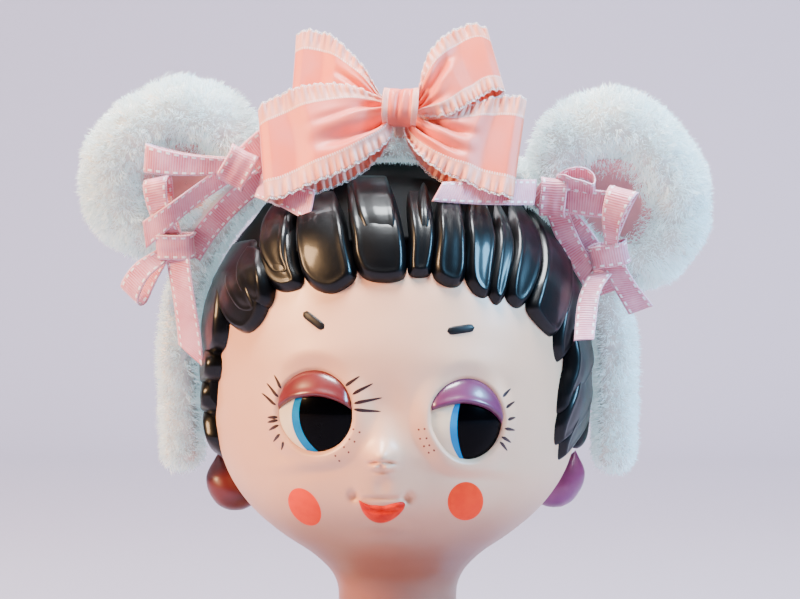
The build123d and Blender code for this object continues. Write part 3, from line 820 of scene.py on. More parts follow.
# Radius and height of the bead's outline, from its tip down
BEAD_PROFILE = [(0.02, 11.4), (1.0, 10.2), (2.8, 8.2), (5.6, 5.4), (8.1, 2.2), (9.4, -1.6), (8.9, -5.2),
                (6.8, -8.2), (3.4, -10.1), (0.02, -10.6)]
BEAD_SCALE = 1.06


def build_earring(side):
    """Bead with a short pointed top, turned about an axis that leans in to the lobe."""
    place, lean = EARRINGS[side]
    profile = smooth_path(BEAD_PROFILE, 7)
    steps = 56
    z = profile[:, 1:]
    local = with_height(profile[:, :1, None] * on_circle(around(steps)), z)
    local[..., 0] += lean * (smoothstep(-8, 14, z) - 0.3)
    faces = grid_faces(len(profile), steps, wrap=True)
    piece(f"earring_{side}_bead", BEAD_SCALE * local + place, faces, "head", "mauve_paint", [BEAD[side]],
          [f"earring_{side}"])


# ---------------------------------------------------------------- hair

HAIR_BASE = 3.4
CROWN_POLE = 209.0
# A lock's spine stands this far off the head and its edges sink below it, bent over a round head
LOCK_LEVEL = 0.6
LOCK_SUNK = 1.4
LOCK_RINGS = 15
HEAD_CURVE = 74.0


def lock(path, width, height, ridges=1):
    """One moulded lock over the head, from its root to a round tip. The path is (degrees round the head,
    height), and the width is at the tip and narrows with the head towards the crown."""
    line = smooth_path(path, 14)
    angle, z = np.radians(line[:, 0]), np.minimum(line[:, 1], CROWN_POLE)
    run = run_length(head_point(angle, z, 1.0))
    count = max(26, int(run[-1] / 1.5))
    # Points are closer together at the tip, where the lock rounds over
    even = np.linspace(0, 1, count)
    at = (1 - (1 - even) ** 1.35) * run[-1]
    angle, z = np.interp(at, run, angle), np.interp(at, run, z)
    spine = head_point(angle, z, LOCK_LEVEL)
    side, _, _ = head_section(z)
    along = unit(np.gradient(spine, axis=0))
    round_head = unit(head_point(angle + 0.02, z, LOCK_LEVEL) - spine)
    up_head = unit(head_point(angle, z + 0.5, LOCK_LEVEL) - head_point(angle, z - 0.5, LOCK_LEVEL))
    out = unit(np.cross(round_head, up_head))
    across = unit(np.cross(out, along))
    cap = rounding(at[-1] - at, width / 2)
    half = width / 2 * np.clip(side / side[-1], 0.3, 1.3) * cap
    rise = height * cap ** 0.8 * (0.25 + 0.75 * smoothstep(0, 0.3, even))
    a = np.linspace(0, math.pi, LOCK_RINGS)
    flat = np.cos(a)
    dome = np.abs(np.sin(a)) ** 0.62
    if ridges > 1:
        dome = dome * (1 - 0.16 * np.exp(-((flat - 0.1 * np.sin(9 * even)[:, None]) / 0.16) ** 2))
    reach = half[:, None] * flat
    level = rise[:, None] * dome - LOCK_SUNK * (1 - dome) - reach**2 / (2 * HEAD_CURVE)
    points = spine[:, None] + across[:, None] * reach[..., None] + out[:, None] * level[..., None]
    return points, grid_faces(count, LOCK_RINGS)


# Flat locks of the fringe and the sides, as (degrees round the head, height) down each edge to the tip.
# The first number is how far each stands out: a lock covers its neighbours that stand lower. The places
# were picked on the photo and turned into these units by a helper script, and some then changed by eye
PETALS = [
    (5.0, [(-92, 182.8), (-88, 169), (-67, 158), (-57, 150.2), (-48.5, 147.2)],
     [(-54.2, 183), (-44, 170.8), (-39, 161.5), (-39.5, 154.5), (-43.2, 149.2), (-48.5, 147.2)]),
    (5.7, [(-61.8, 174.8), (-63.2, 167.2), (-55.2, 159.2), (-49.8, 154.2), (-45, 152.8)],
     [(-49.5, 173.5), (-43.8, 165.2), (-40.2, 158), (-41, 154.2), (-45, 152.8)]),
    (6.6, [(-56, 180.2), (-56, 172.8), (-52.2, 165.2), (-47.8, 159.2), (-42.2, 156)],
     [(-45.2, 178), (-39.2, 169.8), (-37.2, 162.5), (-38, 157.5), (-42.2, 156)]),
    (5.2, [(-66, 195.8), (-51.5, 182), (-45.2, 172.5), (-40.5, 166.2), (-35.8, 163.2), (-31.3, 162.8)],
     [(-38.2, 193), (-32.2, 181.5), (-29.2, 173.2), (-26.8, 168.2), (-27.2, 164.5), (-31.3, 162.8)]),
    (6.4, [(-62, 197), (-51.8, 185.8), (-46.8, 176.2), (-42.2, 170.8), (-38, 167.2), (-33.8, 166.5)],
     [(-39.8, 195.8), (-34.2, 184.5), (-31.8, 176), (-29.2, 171), (-30, 167.5), (-33.8, 166.5)]),
    (5.6, [(-47.2, 203), (-36.5, 188.2), (-31.5, 178), (-27, 168.8), (-22, 163.8), (-16, 162.2)],
     [(-24.5, 203), (-14.5, 188.8), (-10.8, 178.5), (-8.6, 169.5), (-10.8, 165), (-16, 162.2)]),
    (6.1, [(-30, 204), (-19.2, 196.5), (-12.5, 183.2), (-10, 174), (-6.2, 167.8), (0.5, 166.2)],
     [(2, 204), (5, 194.2), (7.3, 181.2), (7.5, 172.2), (6, 167.5), (0.5, 166.2)]),
    (7.2, [(-26, 204), (-16.2, 196.5), (-10.4, 186), (-5.2, 177.8), (0.8, 175.2)],
     [(1, 204), (4, 195.2), (5.8, 185), (5, 177.8), (0.8, 175.2)]),
    (5.3, [(4, 204), (5.8, 195.2), (7.4, 182.2), (7.3, 173.2), (8, 169.2), (11, 168)],
     [(21.5, 204), (19, 192.5), (18, 181.2), (16, 172.2), (14.5, 168.8), (11, 168)]),
    (6.3, [(13, 203.5), (10.2, 194.2), (9.8, 185), (10.2, 179), (13, 176.2)],
     [(20.5, 203), (18, 192.5), (17.2, 184), (15.8, 178.2), (13, 176.2)]),
    (5.9, [(24, 204), (18, 192.5), (16.4, 181.2), (15.2, 172.2), (16.5, 167), (20.8, 164.5)],
     [(36.8, 203.5), (30.5, 190.8), (28.2, 179.5), (26.8, 170.5), (24.5, 165.5), (20.8, 164.5)]),
    (5.2, [(40, 203.8), (29.6, 190.8), (27, 179.5), (26, 168.8), (28, 162.8), (31.5, 160.5)],
     [(48, 200.8), (42.5, 189), (39.8, 179.8), (36.5, 170.5), (34.2, 162.5), (31.5, 160.5)]),
    (4.8, [(49, 201.8), (41.5, 189), (38, 179.8), (34.8, 170.5), (33.2, 163), (35.5, 158)],
     [(55.2, 200), (50.2, 187.2), (46.8, 177), (42.4, 168), (39, 160.2), (35.5, 158)]),
    (5.5, [(58, 200), (50, 189.2), (45.5, 179), (41, 168.8), (39.8, 160.8), (43.2, 156.8)],
     [(69.2, 197.5), (64, 186.8), (59.8, 176.5), (54, 167), (47.8, 158.8), (43.2, 156.8)]),
    (5.9, [(70, 197.5), (62.5, 185), (56, 173.5), (50, 163.5), (47.8, 155.2), (57.2, 146.2)],
     [(88, 193.2), (84, 181), (75.5, 169.2), (69.2, 159), (63, 149.8), (57.2, 146.2)]),
    (5.0, [(86, 190.2), (76, 176.8), (68, 165.5), (61.5, 154.2), (59.3, 143), (61.8, 136.2)],
     [(98, 188), (94, 174.5), (86, 161.8), (75, 149.5), (68, 140.8), (61.8, 136.2)]),
    (5.6, [(66, 150.5), (65.5, 136.2), (63.5, 129.2), (62, 122.8), (62.6, 116.2)],
     [(99, 150), (92, 138.2), (80, 129.8), (71.5, 122), (62.6, 116.2)]),
    (4.8, [(70.5, 144.5), (67.2, 129.2), (63, 118.8), (61.5, 110.5), (64, 104.2)],
     [(100, 142), (95, 126.2), (84, 116.2), (74, 109), (64, 104.2)]),
    (4.0, [(75, 140.8), (72, 121.5), (67, 110.2), (66, 103.8), (69.5, 98)],
     [(106, 140), (104, 124.2), (92, 112), (79, 104), (69.5, 98)]),
    (5.4, [(-98, 176), (-104, 161.5), (-104, 150.8), (-96, 141), (-76, 137)],
     [(-66.8, 176), (-61, 159.2), (-59.5, 150.8), (-62, 141.5), (-76, 137)]),
    (5.4, [(-98, 143), (-104, 138), (-104, 132), (-97, 127), (-84, 125)],
     [(-72, 143.5), (-66, 138.5), (-65, 133), (-69, 128.2), (-84, 125)]),
    (5.2, [(-100, 131), (-107, 126), (-107, 120.5), (-101, 115.5), (-90, 113)],
     [(-78, 131.5), (-73, 126.5), (-72.5, 121), (-76, 116.0), (-90, 113)]),
    (4.6, [(-104, 122), (-109, 116), (-106, 109.8), (-99, 102.8), (-88, 97)],
     [(-88, 121), (-82, 116.2), (-79, 111), (-78, 104), (-88, 97)]),
]
PETAL_EDGE = 3.4


def petal(height, left, right):
    """One flat moulded lock: level inside, raised a little just within its edge, and rounded over there."""
    outline = smooth_path(left + right[-2::-1], 14)
    tip = 14 * (len(left) - 1)
    t = np.minimum(1 - (1 - np.linspace(0, 1, 54)) ** 1.5, 0.998)
    s = np.sin(np.linspace(-math.pi / 2, math.pi / 2, 31))[None, :, None]
    left, right = even_steps(outline[:tip + 1], t), even_steps(outline[:tip - 1:-1], t)
    flat = left[:, None] * (1 - s) / 2 + right[:, None] * (1 + s) / 2
    angle, z = np.radians(flat[..., 0]), flat[..., 1]
    rim = even_steps(outline, np.linspace(0, 1, 420))
    rim = head_point(np.radians(rim[:, 0]), rim[:, 1])
    inside = np.linalg.norm(head_point(angle, z)[:, :, None] - rim, axis=-1).min(-1)
    t = t[:, None]
    full = smoothstep(0, 0.4, t)
    swell = (0.45 * np.exp(-((inside - 2.6) / 1.1) ** 2) + 0.8 * (1 - np.exp(-inside / 5))) * full
    root = 0.4 + 0.6 * smoothstep(0, 0.06, t)
    level = height * root * (0.82 + 0.18 * full - 0.56 * smoothstep(0.45, 1, t))
    grow = (level + 1 + swell) * rounding(inside, PETAL_EDGE) - 1
    return head_point(angle, z, grow), grid_faces(*angle.shape)


def wavy_lock(start, end, top, bottom, width, wave, phase, height, ridges=1):
    """Long lock down the side or back, swinging as it falls."""
    t = np.linspace(0, 1, 9)
    z = top + (bottom - top) * t
    a = start + (end - start) * t + wave * np.sin(phase + 2.4 * math.pi * t) * smoothstep(0, 0.35, t)
    return lock(np.column_stack([a, z]), width, height, ridges)


# Lower edge of the cap: (degrees round the head, height)
CAP_EDGE = [(-180, 84), (-150, 84), (-128, 92), (-100, 104), (-84, 108), (-72, 118), (-62, 150), (-56, 160),
            (-44, 172), (-20, 178), (0, 180), (20, 180), (40, 174), (52, 164), (62, 152), (74, 112), (84, 104),
            (100, 104), (128, 92), (150, 84), (180, 84)]


def hair_cap():
    """Cap that the locks stand on. Its lower edge is high over the forehead, where the fringe hangs past it."""
    rows, cols = 46, 160
    angle = around(cols) - math.pi
    t = np.linspace(0, 1, rows)[:, None]
    low = np.interp(np.degrees(angle), *np.transpose(CAP_EDGE))
    z = low + (HEAD[-1, 0] - 0.1 - low) * t
    front = smoothstep(-0.2, 0.5, np.cos(angle))
    raised = HAIR_BASE * smoothstep(0, 0.06, t) - 0.6 + 2.8 * front * smoothstep(182, 204, z)
    cap = head_point(angle, z, raised).reshape(-1, 3)
    faces = grid_faces(rows, cols, wrap=True) + ring_to_point((rows - 1) * cols, cols, rows * cols)
    return np.vstack([cap, [[0, CROWN_MIDDLE, 214.4]]]), faces


def build_hair():
    parts = [hair_cap()]
    # Back: long locks, each over the last, from the crown to the nape
    for i in range(15):
        a = 98 + (262 - 98) * i / 14
        tip = 80 + 4 * math.sin(2.1 * i) + 24 * (abs(a - 180) / 82) ** 2
        parts.append(wavy_lock(a, a + 3 * math.sin(i), 208.6, tip, 19.5, 2.4, 1.3 * i, 5.0, 1 + i % 2))
    # Sides, behind the headband's legs
    for start, end, tip in ((-99, -97, 103), (99, 97, 101)):
        parts.append(wavy_lock(start, end, 206, tip, 15, 2.0, start * 0.1, 4.6))
    parts += [petal(*shape) for shape in PETALS]
    points, faces = join(parts)
    deep = np.arange(len(faces)) < len(parts[0][1])
    piece("hair_locks", points, faces, "head", "hair_vinyl", [HAIR, HAIR_DEEP], ["hair_cap"], slots=deep)


# ---------------------------------------------------------------- headband and ears

BAND_LEAN = math.radians(14)
BAND_ORIGIN = arr(0, 14, 92)
BAND_AXES = arr((1, 0, 0), (0, -math.sin(BAND_LEAN), math.cos(BAND_LEAN)),
                (0, -math.cos(BAND_LEAN), -math.sin(BAND_LEAN)))
ARCH_CENTRE = arr(-1, 45)
ARCH_RADIUS = 88
BAND_OUTER = 94.6
BAND_DEPTH = 9.2
BAND_LEG = 44.5
BAND_LENGTH = 2 * BAND_LEG + math.pi * ARCH_RADIUS
# Each ear: its centre and its dish's centre in the band's plane, its radius, swell and the swell's direction
EARS = {"left": (arr(-88, 123), arr(-82.5, 118.5), 38, 3.0, 38),
        "right": (arr(88, 114.9), arr(84.5, 109), 38.4, 3.8, 118)}
# Each lining: its radius, the rise of its rim, and the radius inside which no pile grows
LININGS = {"left": (16.5, 3.0, 11), "right": (19.5, 4.6, 12.5)}
PILE_DEPTH = 2.4


def band(points):
    """World place of points across, up and out from the headband's own plane."""
    return BAND_ORIGIN + np.asarray(points, float) @ BAND_AXES


def arch_line(f):
    """Inner and outer edges of the band at a fraction of its length, from the left foot to the right."""
    s = f * BAND_LENGTH
    arc = math.pi * ARCH_RADIUS
    a = math.pi - np.clip(s - BAND_LEG, 0, arc) / ARCH_RADIUS
    inner = 80.4 + 2.6 * np.sin(a) ** 2 + 2.2 * np.sin(2 * a) ** 2
    down = np.maximum(BAND_LEG - s, 0) + np.maximum(s - BAND_LEG - arc, 0)
    foot = np.stack([0 * down, -down], -1)
    return [ARCH_CENTRE + on_circle(a) * radius + foot for radius in (inner[:, None], BAND_OUTER)]


def padded_fabric(name, local, faces, node):
    """Backing cloth of a stuffed piece, from places in the band's plane."""
    thing = piece(name, band(local.reshape(-1, 3)), faces, "headband", "white_plush", [BACKING], [node])
    return thing


def build_band_plush():
    rows, cols = 300, 44
    f = np.linspace(0, 1, rows)
    inner, outer = arch_line(f)
    middle, half = (inner + outer) / 2, (outer - inner) / 2
    f = f[:, None]
    a = around(cols)
    lumps = 0.5 * np.sin(f * 61) * np.sin(2 * a) + 0.4 * np.sin(f * 103 + 1) * np.cos(a)
    scale = rounding(np.minimum(f, 1 - f) * BAND_LENGTH, 7) * (1 + 0.03 * lumps)
    flat = middle[:, None] + half[:, None] * (squared(np.cos(a), 0.62) * scale)[..., None]
    local = with_height(flat, BAND_DEPTH * squared(np.sin(a), 0.72) * scale)
    faces = grid_faces(rows, cols, wrap=True) + end_caps(rows, cols)
    return padded_fabric("headband_fabric", local, faces, "headband_plush")


# Section of an ear from the middle of its dish, over the rim and round to the back:
# (share of the way out, depth)
EAR_SECTION = [(0.0, 2.2), (0.2, 2.4), (0.36, 4.0), (0.47, 7.4), (0.58, 10.0), (0.7, 10.6), (0.82, 9.0),
               (0.93, 5.4), (0.99, 0.6), (0.985, -4.0), (0.91, -8.6), (0.78, -11.2), (0.55, -12.3),
               (0.25, -12.7), (0.0, -12.8)]


def build_ear(side):
    centre, dish, size, swell, turn = EARS[side]
    section = smooth_path(EAR_SECTION, 5)
    b = around(84)
    radius = size + swell * np.cos(2 * (b - math.radians(turn))) - PILE_DEPTH
    share, depth = section[:, :1], section[:, 1:]
    # The section's first part is the front, whose middle moves over to the dish
    front = np.arange(len(section))[:, None] < len(section) * 0.62
    slide = np.where(front, 1 - smoothstep(0.12, 0.95, share), 0)
    middle = centre + (dish - centre) * slide[..., None]
    lumps = 1 + 0.012 * np.sin(5 * b + 1) + 0.01 * np.sin(9 * b)
    flat = middle + on_circle(b)[None] * (share * radius * lumps)[..., None]
    faces = grid_faces(len(section), len(b), wrap=True)
    return padded_fabric(f"ear_{side}_fabric", with_height(flat, depth), faces, f"ear_{side}_plush")


def build_lining(side):
    """Dished lining of the ear, with soft folds running in from its edge."""
    _, dish, _, _, _ = EARS[side]
    radius, rim, _ = LININGS[side]
    rings, steps = 22, 72
    f = np.linspace(0.01, 1, rings)[:, None]
    b = around(steps)
    depth = 3.3 + rim * f**3 + 0.2 * f**2 * np.sin(5 * b + 0.7) + 0.12 * f * np.sin(9 * b + 2)
    local = with_height(dish + radius * f[..., None] * on_circle(b), depth)
    thing = piece(f"ear_{side}_lining_cloth", band(local), grid_faces(rings, steps, wrap=True), "headband",
                  "pink_lining", [LINING], [f"ear_{side}_lining"])
    thicken(thing, 0.5)


def scattered(mesh, per_mm2):
    """Places scattered evenly over a mesh, and the mesh's normals there."""
    mesh.calc_loop_triangles()
    spots = mesh_array(mesh.vertices, "co", 3) / MM
    normals = mesh_array(mesh.vertices, "normal", 3)
    tri = mesh_array(mesh.loop_triangles, "vertices", 3, np.int32)
    a, b, c = spots[tri.T]
    area = np.linalg.norm(np.cross(b - a, c - a), axis=1) / 2
    count = int(area.sum() * per_mm2)
    corners = tri[rng.choice(len(tri), count, p=area / area.sum())]
    u, v = rng.random(count), rng.random(count)
    flip = u + v > 1
    u[flip], v[flip] = 1 - u[flip], 1 - v[flip]
    weights = np.stack([1 - u - v, u, v], -1)[..., None]
    return (spots[corners] * weights).sum(1), unit((normals[corners] * weights).sum(1))


def build_pile(name, base, per_mm2, length, skip=None):
    """Short plush pile on a mesh: narrow pointed blades in loose clumps, each in one of a few tones."""
    root, normal = scattered(base.data, per_mm2)
    if skip is not None:
        keep = ~skip(root)
        root, normal = root[keep], normal[keep]
    count = len(root)
    # Clumps: the blades of one neighbourhood lean the same way, by long and by short waves
    waves = rng.normal(0, 1, (3, 14, 3)) * np.repeat([0.35, 0.9], 7)[:, None]
    phase = rng.random((3, 14)) * 6.3
    lean = np.stack([np.sin(root @ wave.T + shift).mean(1) for wave, shift in zip(waves, phase)], -1) * 2.4
    way = unit(normal + 0.5 * lean + rng.normal(0, 0.3, (count, 3)) + [0, 0, -0.12])
    way = unit(way + normal * np.maximum(0.25 - (way * normal).sum(1), 0)[:, None] * 2)
    side = unit(np.cross(way, rng.normal(0, 1, (count, 3))))
    tall = length * (0.65 + 0.55 * rng.random(count)) * (1 + 0.3 * lean[:, 0])
    wide = side * (0.2 + 0.16 * rng.random(count))[:, None]
    droop = unit(way + 0.35 * lean + [0, 0, -0.25])
    sink = root - normal * 0.5
    mid = root + way * (tall * 0.6)[:, None]
    tip = mid + droop * (tall * 0.45)[:, None]
    points = np.stack([sink - wide / 2, sink + wide / 2, mid + wide * 0.36, mid - wide * 0.36, tip], 1)
    start = points.shape[1] * np.arange(count)[:, None]
    faces = (start + [0, 1, 2, 3]).tolist() + (start + [3, 2, 4]).tolist()
    tone = rng.integers(0, len(PILE), count)
    piece(name, points, faces, "headband", "white_plush", PILE, slots=np.r_[tone, tone])


def bare_spots(side):
    """Test for roots without pile on an ear: inside its lining, and under the ribbon along the band."""
    _, dish, _, _, _ = EARS[side]
    _, _, bare = LININGS[side]

    def test(root):
        local = (root - BAND_ORIGIN) @ BAND_AXES.T
        lined = np.hypot(*(local[:, :2] - dish).T) < bare
        ribboned = np.hypot(*(local[:, :2] - ARCH_CENTRE).T) < TRIM_OUTSIDE + 1
        return (lined | ribboned) & (local[:, 2] > 0)

    return test


def build_plush():
    build_pile("headband_pile", build_band_plush(), 2.6, 3.2)
    for side in EARS:
        ear = build_ear(side)
        build_lining(side)
        build_pile(f"ear_{side}_pile", ear, 3.2, 3.4, bare_spots(side))


# ---------------------------------------------------------------- ribbons

RIBBON_WIDE, RIBBON_THICK, RIBBON_COLS = 10, 0.45, 11
STITCH, STITCH_GAP, STITCH_WIDE, STITCH_TALL = 2.1, 1.3, 0.8, 0.14
STITCH_ROWS = (-0.76, 0.76)
# A dash of thread seen flat: along it, across it in half widths, and its share of the full height
DASH = [(0, 0, 0.4), (0.3, -1, 0.8), (0.3, 1, 0.8), (STITCH / 2, 0, 1.3), (STITCH - 0.3, -1, 0.8),
        (STITCH - 0.3, 1, 0.8), (STITCH, 0, 0.4)]
DASH_FACES = [(0, 1, 3), (0, 3, 2), (1, 4, 3), (2, 3, 5), (4, 6, 3), (3, 6, 5)]


def weave_map(points, across):
    """Weave map of a grid of points, and the length of cloth up to each of its rows."""
    run = run_length(points[:, points.shape[1] // 2])
    return np.stack(np.broadcast_arrays(run[:, None] / 10, across), -1), run


def pink_ribbon(name, points, node):
    """A stitched ribbon from a grid of points, row by row along its length."""
    rows, cols = points.shape[:2]
    uv, run = weave_map(points, np.linspace(-1, 1, cols))
    thing = piece(name, points, grid_faces(rows, cols), "headband", "pink_ribbon", [PINK], [node], uv=uv)
    thicken(thing, RIBBON_THICK)
    sew(f"{name}_stitching", points, run)


def sheet_normal(points):
    return unit(np.cross(np.gradient(points, axis=0), np.gradient(points, axis=1)))


def sew(name, points, run):
    """Raised dashes of thread on both faces of a ribbon, near its edges."""
    rows, cols = points.shape[:2]
    normal = sheet_normal(points)
    dash = STITCH_WIDE / np.linalg.norm(points[:, -1] - points[:, 0], axis=1).mean()

    def at(s, c):
        """Place and normal of the ribbon at a length and a place across."""
        i, j = np.interp(s, run, np.arange(rows)), (c + 1) / 2 * (cols - 1)
        i0, j0 = int(min(i, rows - 1.001)), int(min(j, cols - 1.001))
        ends = [points[i0 + k, j0] * (1 - j + j0) + points[i0 + k, j0 + 1] * (j - j0) for k in (0, 1)]
        return ends[0] * (1 - i + i0) + ends[1] * (i - i0), normal[i0, j0]

    parts = []
    for edge in STITCH_ROWS:
        for start in np.arange(0.7, run[-1] - STITCH, STITCH + STITCH_GAP):
            for face in (1, -1):
                spots = [(*at(start + ds, edge + dc * dash), k) for ds, dc, k in DASH]
                lift = (RIBBON_THICK / 2 + STITCH_TALL) * face
                parts.append((np.array([spot + out * lift * k for spot, out, k in spots]), DASH_FACES))
    piece(name, *join(parts), "headband", "pink_ribbon", [THREAD])


def ruled(edge_a, edge_b, rows, cols):
    """Grid between two edges, row by row from their first points to their last."""
    steps = np.linspace(0, 1, rows)
    a, b = (even_steps(smooth_path(edge, 12), steps)[:, None] for edge in (edge_a, edge_b))
    s = np.linspace(-1, 1, cols)[None, :, None]
    return a * ((1 - s) / 2) + b * ((1 + s) / 2)


# Lengths that lie flat: name, one edge, other edge, height over the band's plane at t along and s across
FLAT_RIBBONS = [
    ("left_upper_tail",
     [(-61.5, 131), (-79, 119), (-98, 106.2)], [(-59.6, 123.4), (-78.6, 110.6), (-97.0, 95.2)],
     lambda t, s: (14.6 + 5.6 * smoothstep(0.3, 0.75, t) - 2.0 * smoothstep(0.8, 1, t)
                   + 0.7 * np.sin(5 * t + 0.6 * s))),
    ("left_upper_strip", [(-60, 134.5), (-52, 141.5), (-43, 147)], [(-52, 124.5), (-47, 129.5), (-38, 136)],
     lambda t, s: 14.2 + 2.6 * t * (1 - t)),
    ("right_upper_tail", [(57.8, 113), (64.6, 96), (76.0, 75.6)], [(67.0, 112.5), (73.0, 97.6), (80.6, 84.0)],
     lambda t, s: 14.0 + 1.0 * np.sin(3.6 * t) + 0.5 * s * t),
    ("right_upper_strip",
     [(66.0, 119.4), (76, 118.3), (87.5, 117.2)], [(66.0, 109.0), (76, 107.6), (85, 106.2)],
     lambda t, s: 15.4 + 1.5 * np.sin(3.0 * t)),
    ("right_lower_tail_outer",
     [(78.5, 93), (84.5, 81), (91.8, 67.6)], [(88.5, 92), (93.6, 82), (101.4, 71.0)],
     lambda t, s: 14.6 - 1.0 * t + 0.6 * np.sin(4 * t + s)),
]


# Ribbon along the band: where it starts and ends round the arch in degrees, and its inner radius
TRIMS = {"left": (116, 150, 87.4), "right": (20, 52, 86.6)}
TRIM_OUTSIDE = 96


def build_flat_ribbons():
    for name, edge_a, edge_b, lift in FLAT_RIBBONS:
        flat = ruled(edge_a, edge_b, 40, RIBBON_COLS)
        height = lift(*grid_ways(40, RIBBON_COLS))
        pink_ribbon(f"{name}_ribbon", band(with_height(flat, height)), name)
    for side, (start, end, inside) in TRIMS.items():
        a = np.radians(np.linspace(start, end, 60))[:, None]
        flat = ARCH_CENTRE + np.linspace(inside, TRIM_OUTSIDE, RIBBON_COLS)[:, None] * on_circle(a)
        local = with_height(flat, 11.6 + 0.5 * np.sin(9 * a))
        pink_ribbon(f"{side}_band_trim", band(local), f"{side}_band_ribbon")


# Lengths that lean away from the band, in the frame's own axes: one edge and the other
LEANING_RIBBONS = [
    ("left_lower_tail", [(-90.6, -24, 185), (-87.0, -24.8, 163), (-84.6, -24.0, 142.5)],
     [(-80.4, -26, 184), (-77.4, -27.6, 161), (-74.0, -27.0, 133.4)], 0.7),
    ("right_lower_tail_inner", [(77.5, -22, 172), (72.0, -31, 159.5), (70.4, -41, 144.6)],
     [(85.0, -25, 170), (80.2, -32, 160.5), (78.2, -39, 145.0)], 0.9),
    ("left_upper_tail_inner", [(-51, -30, 209), (-41, -44, 205.0), (-27.5, -54, 201.8)],
     [(-53, -36, 200), (-43, -47, 196.4), (-29.5, -57, 189.4)], 0.6),
    ("right_upper_tail_inner", [(56.0, -33, 206.4), (40, -47, 205.6), (21.0, -56, 204.5)],
     [(55.0, -36, 196.4), (40, -49, 196.0), (17.2, -59, 197.2)], 0.6),
]


def build_leaning_ribbons():
    for name, edge_a, edge_b, wave in LEANING_RIBBONS:
        grid = ruled(edge_a, edge_b, 44, RIBBON_COLS)
        t, s = grid_ways(44, RIBBON_COLS)
        curl = wave * np.sin(6 * t) * (1 + 0.3 * s) + 0.35 * (1 - s**2)
        pink_ribbon(f"{name}_ribbon", grid + sheet_normal(grid) * curl[..., None], name)


# Small loops: neck and tip in the band's plane, width at each, depth, level, bend to the side, and twist
# in degrees
SMALL_LOOPS = [
    ("left_upper_loop", (-61.5, 128.6), (-96.0, 131.4), (5.5, 11.2), 8.5, 17.2, 1.4, 8),
    ("left_lower_loop_up", (-86.2, 98.5), (-92.0, 123.0), (7.0, 10.5), 7.5, 15.2, 1.2, -12),
    ("left_lower_loop_down", (-88.5, 94.5), (-103.5, 75.5), (6.0, 10.5), 9.5, 16.6, -1.6, 24),
    ("right_upper_loop", (63.5, 120.0), (78.4, 119.6), (7.5, 7.5), 7.0, 16.4, 2.8, 42),
    ("right_lower_loop", (84.6, 96), (89.6, 118.6), (4.6, 11.2), 10.0, 18.8, 1.2, -14),
]


# A loop seen from its side: out along the front, round the tip and back behind, as shares of its length
# and its depth
LOOP_SECTION = [(0.3, 0.34), (0.68, 0.5), (0.93, 0.42), (1.0, 0.05), (0.94, -0.34), (0.7, -0.42), (0.3, -0.3)]


def build_small_loops():
    s = np.linspace(-1, 1, RIBBON_COLS)
    for name, neck, tip, (neck_wide, tip_wide), depth, level, bend, twist in SMALL_LOOPS:
        way = arr(*tip) - neck
        along = unit(way)
        side = np.array([-along[1], along[0]])
        bend_round = [(out, share * depth) for out, share in LOOP_SECTION]
        section = smooth_path([(0, 0.6)] + bend_round + [(0, -0.6)], 8)
        u = section[:, :1]
        part = np.clip(u, 0, 1)
        across = (neck_wide + (tip_wide - neck_wide) * part) / 2 * s
        high = section[:, 1:] + 0.25 * s**2 * np.sin(5 * u)
        turn = math.radians(twist) * smoothstep(0, 0.5, u)
        sideways = across * np.cos(turn) - high * np.sin(turn) + bend * np.sin(math.pi * part)
        flat = neck + u[..., None] * way + side * sideways[..., None]
        local = with_height(flat, level + across * np.sin(turn) + high * np.cos(turn))
        pink_ribbon(f"{name}_ribbon", band(local), name)


# Knots of the small bows: name, centre, size along and across the wrap, turn in degrees
KNOTS = [
    ("left_upper_knot", (-60, 127.3), (11.5, 15), -28), ("left_lower_knot", (-85.6, 96.2), (10.0, 15.5), 92),
    ("right_upper_knot", (62.4, 115.2), (10, 15.0), -4), ("right_lower_knot", (84.2, 92.6), (9.0, 15.0), 102),
]
KNOT_LEVEL, KNOT_DEPTH = 13.6, 6.4


def wrap_angle(rows, overlap):
    """Once round a knot from behind, where the ends of the wrap overlap."""
    return np.linspace(math.pi - overlap, 3 * math.pi + overlap, rows)[:, None]


def build_knots():
    """Ribbon pulled round the middle of each small bow: an oval ring, a little tighter in the middle."""
    a = wrap_angle(44, 0.06)
    s = np.linspace(-1, 1, 13)
    waist = 1 - 0.05 * (1 - s**2) + 0.03 * s * np.cos(a)
    pleats = 0.22 * np.sin(7 * s + 1) * np.clip(np.cos(a), 0, 1)
    for name, centre, (wide, tall), turn in KNOTS:
        x = wide / 2 * s + 0.25 * np.sin(3 * a)
        y = tall / 2 * squared(np.sin(a), 0.7) * waist
        z = KNOT_DEPTH / 2 * squared(np.cos(a), 0.75) * waist + pleats
        local = with_height(np.stack(turned(x, y, turn), -1) + centre, KNOT_LEVEL + KNOT_DEPTH / 2 + z)
        pink_ribbon(f"{name}_wrap", band(local), name)


# ---------------------------------------------------------------- large bow

BOW_LEAN = math.radians(20)
BOW_ORIGIN = arr(4.4, -40, 232.3)
BOW_AXES = arr((1, 0, 0), (0, math.sin(BOW_LEAN), math.cos(BOW_LEAN)),
               (0, -math.cos(BOW_LEAN), math.sin(BOW_LEAN)))
# The gathered edge starts this far out, and its waves and scallops have these lengths
RUFFLE = 0.6
RUFFLE_WAVES = 2.7
RUFFLE_SWAY = 5.7
SCALLOPS = 1.6

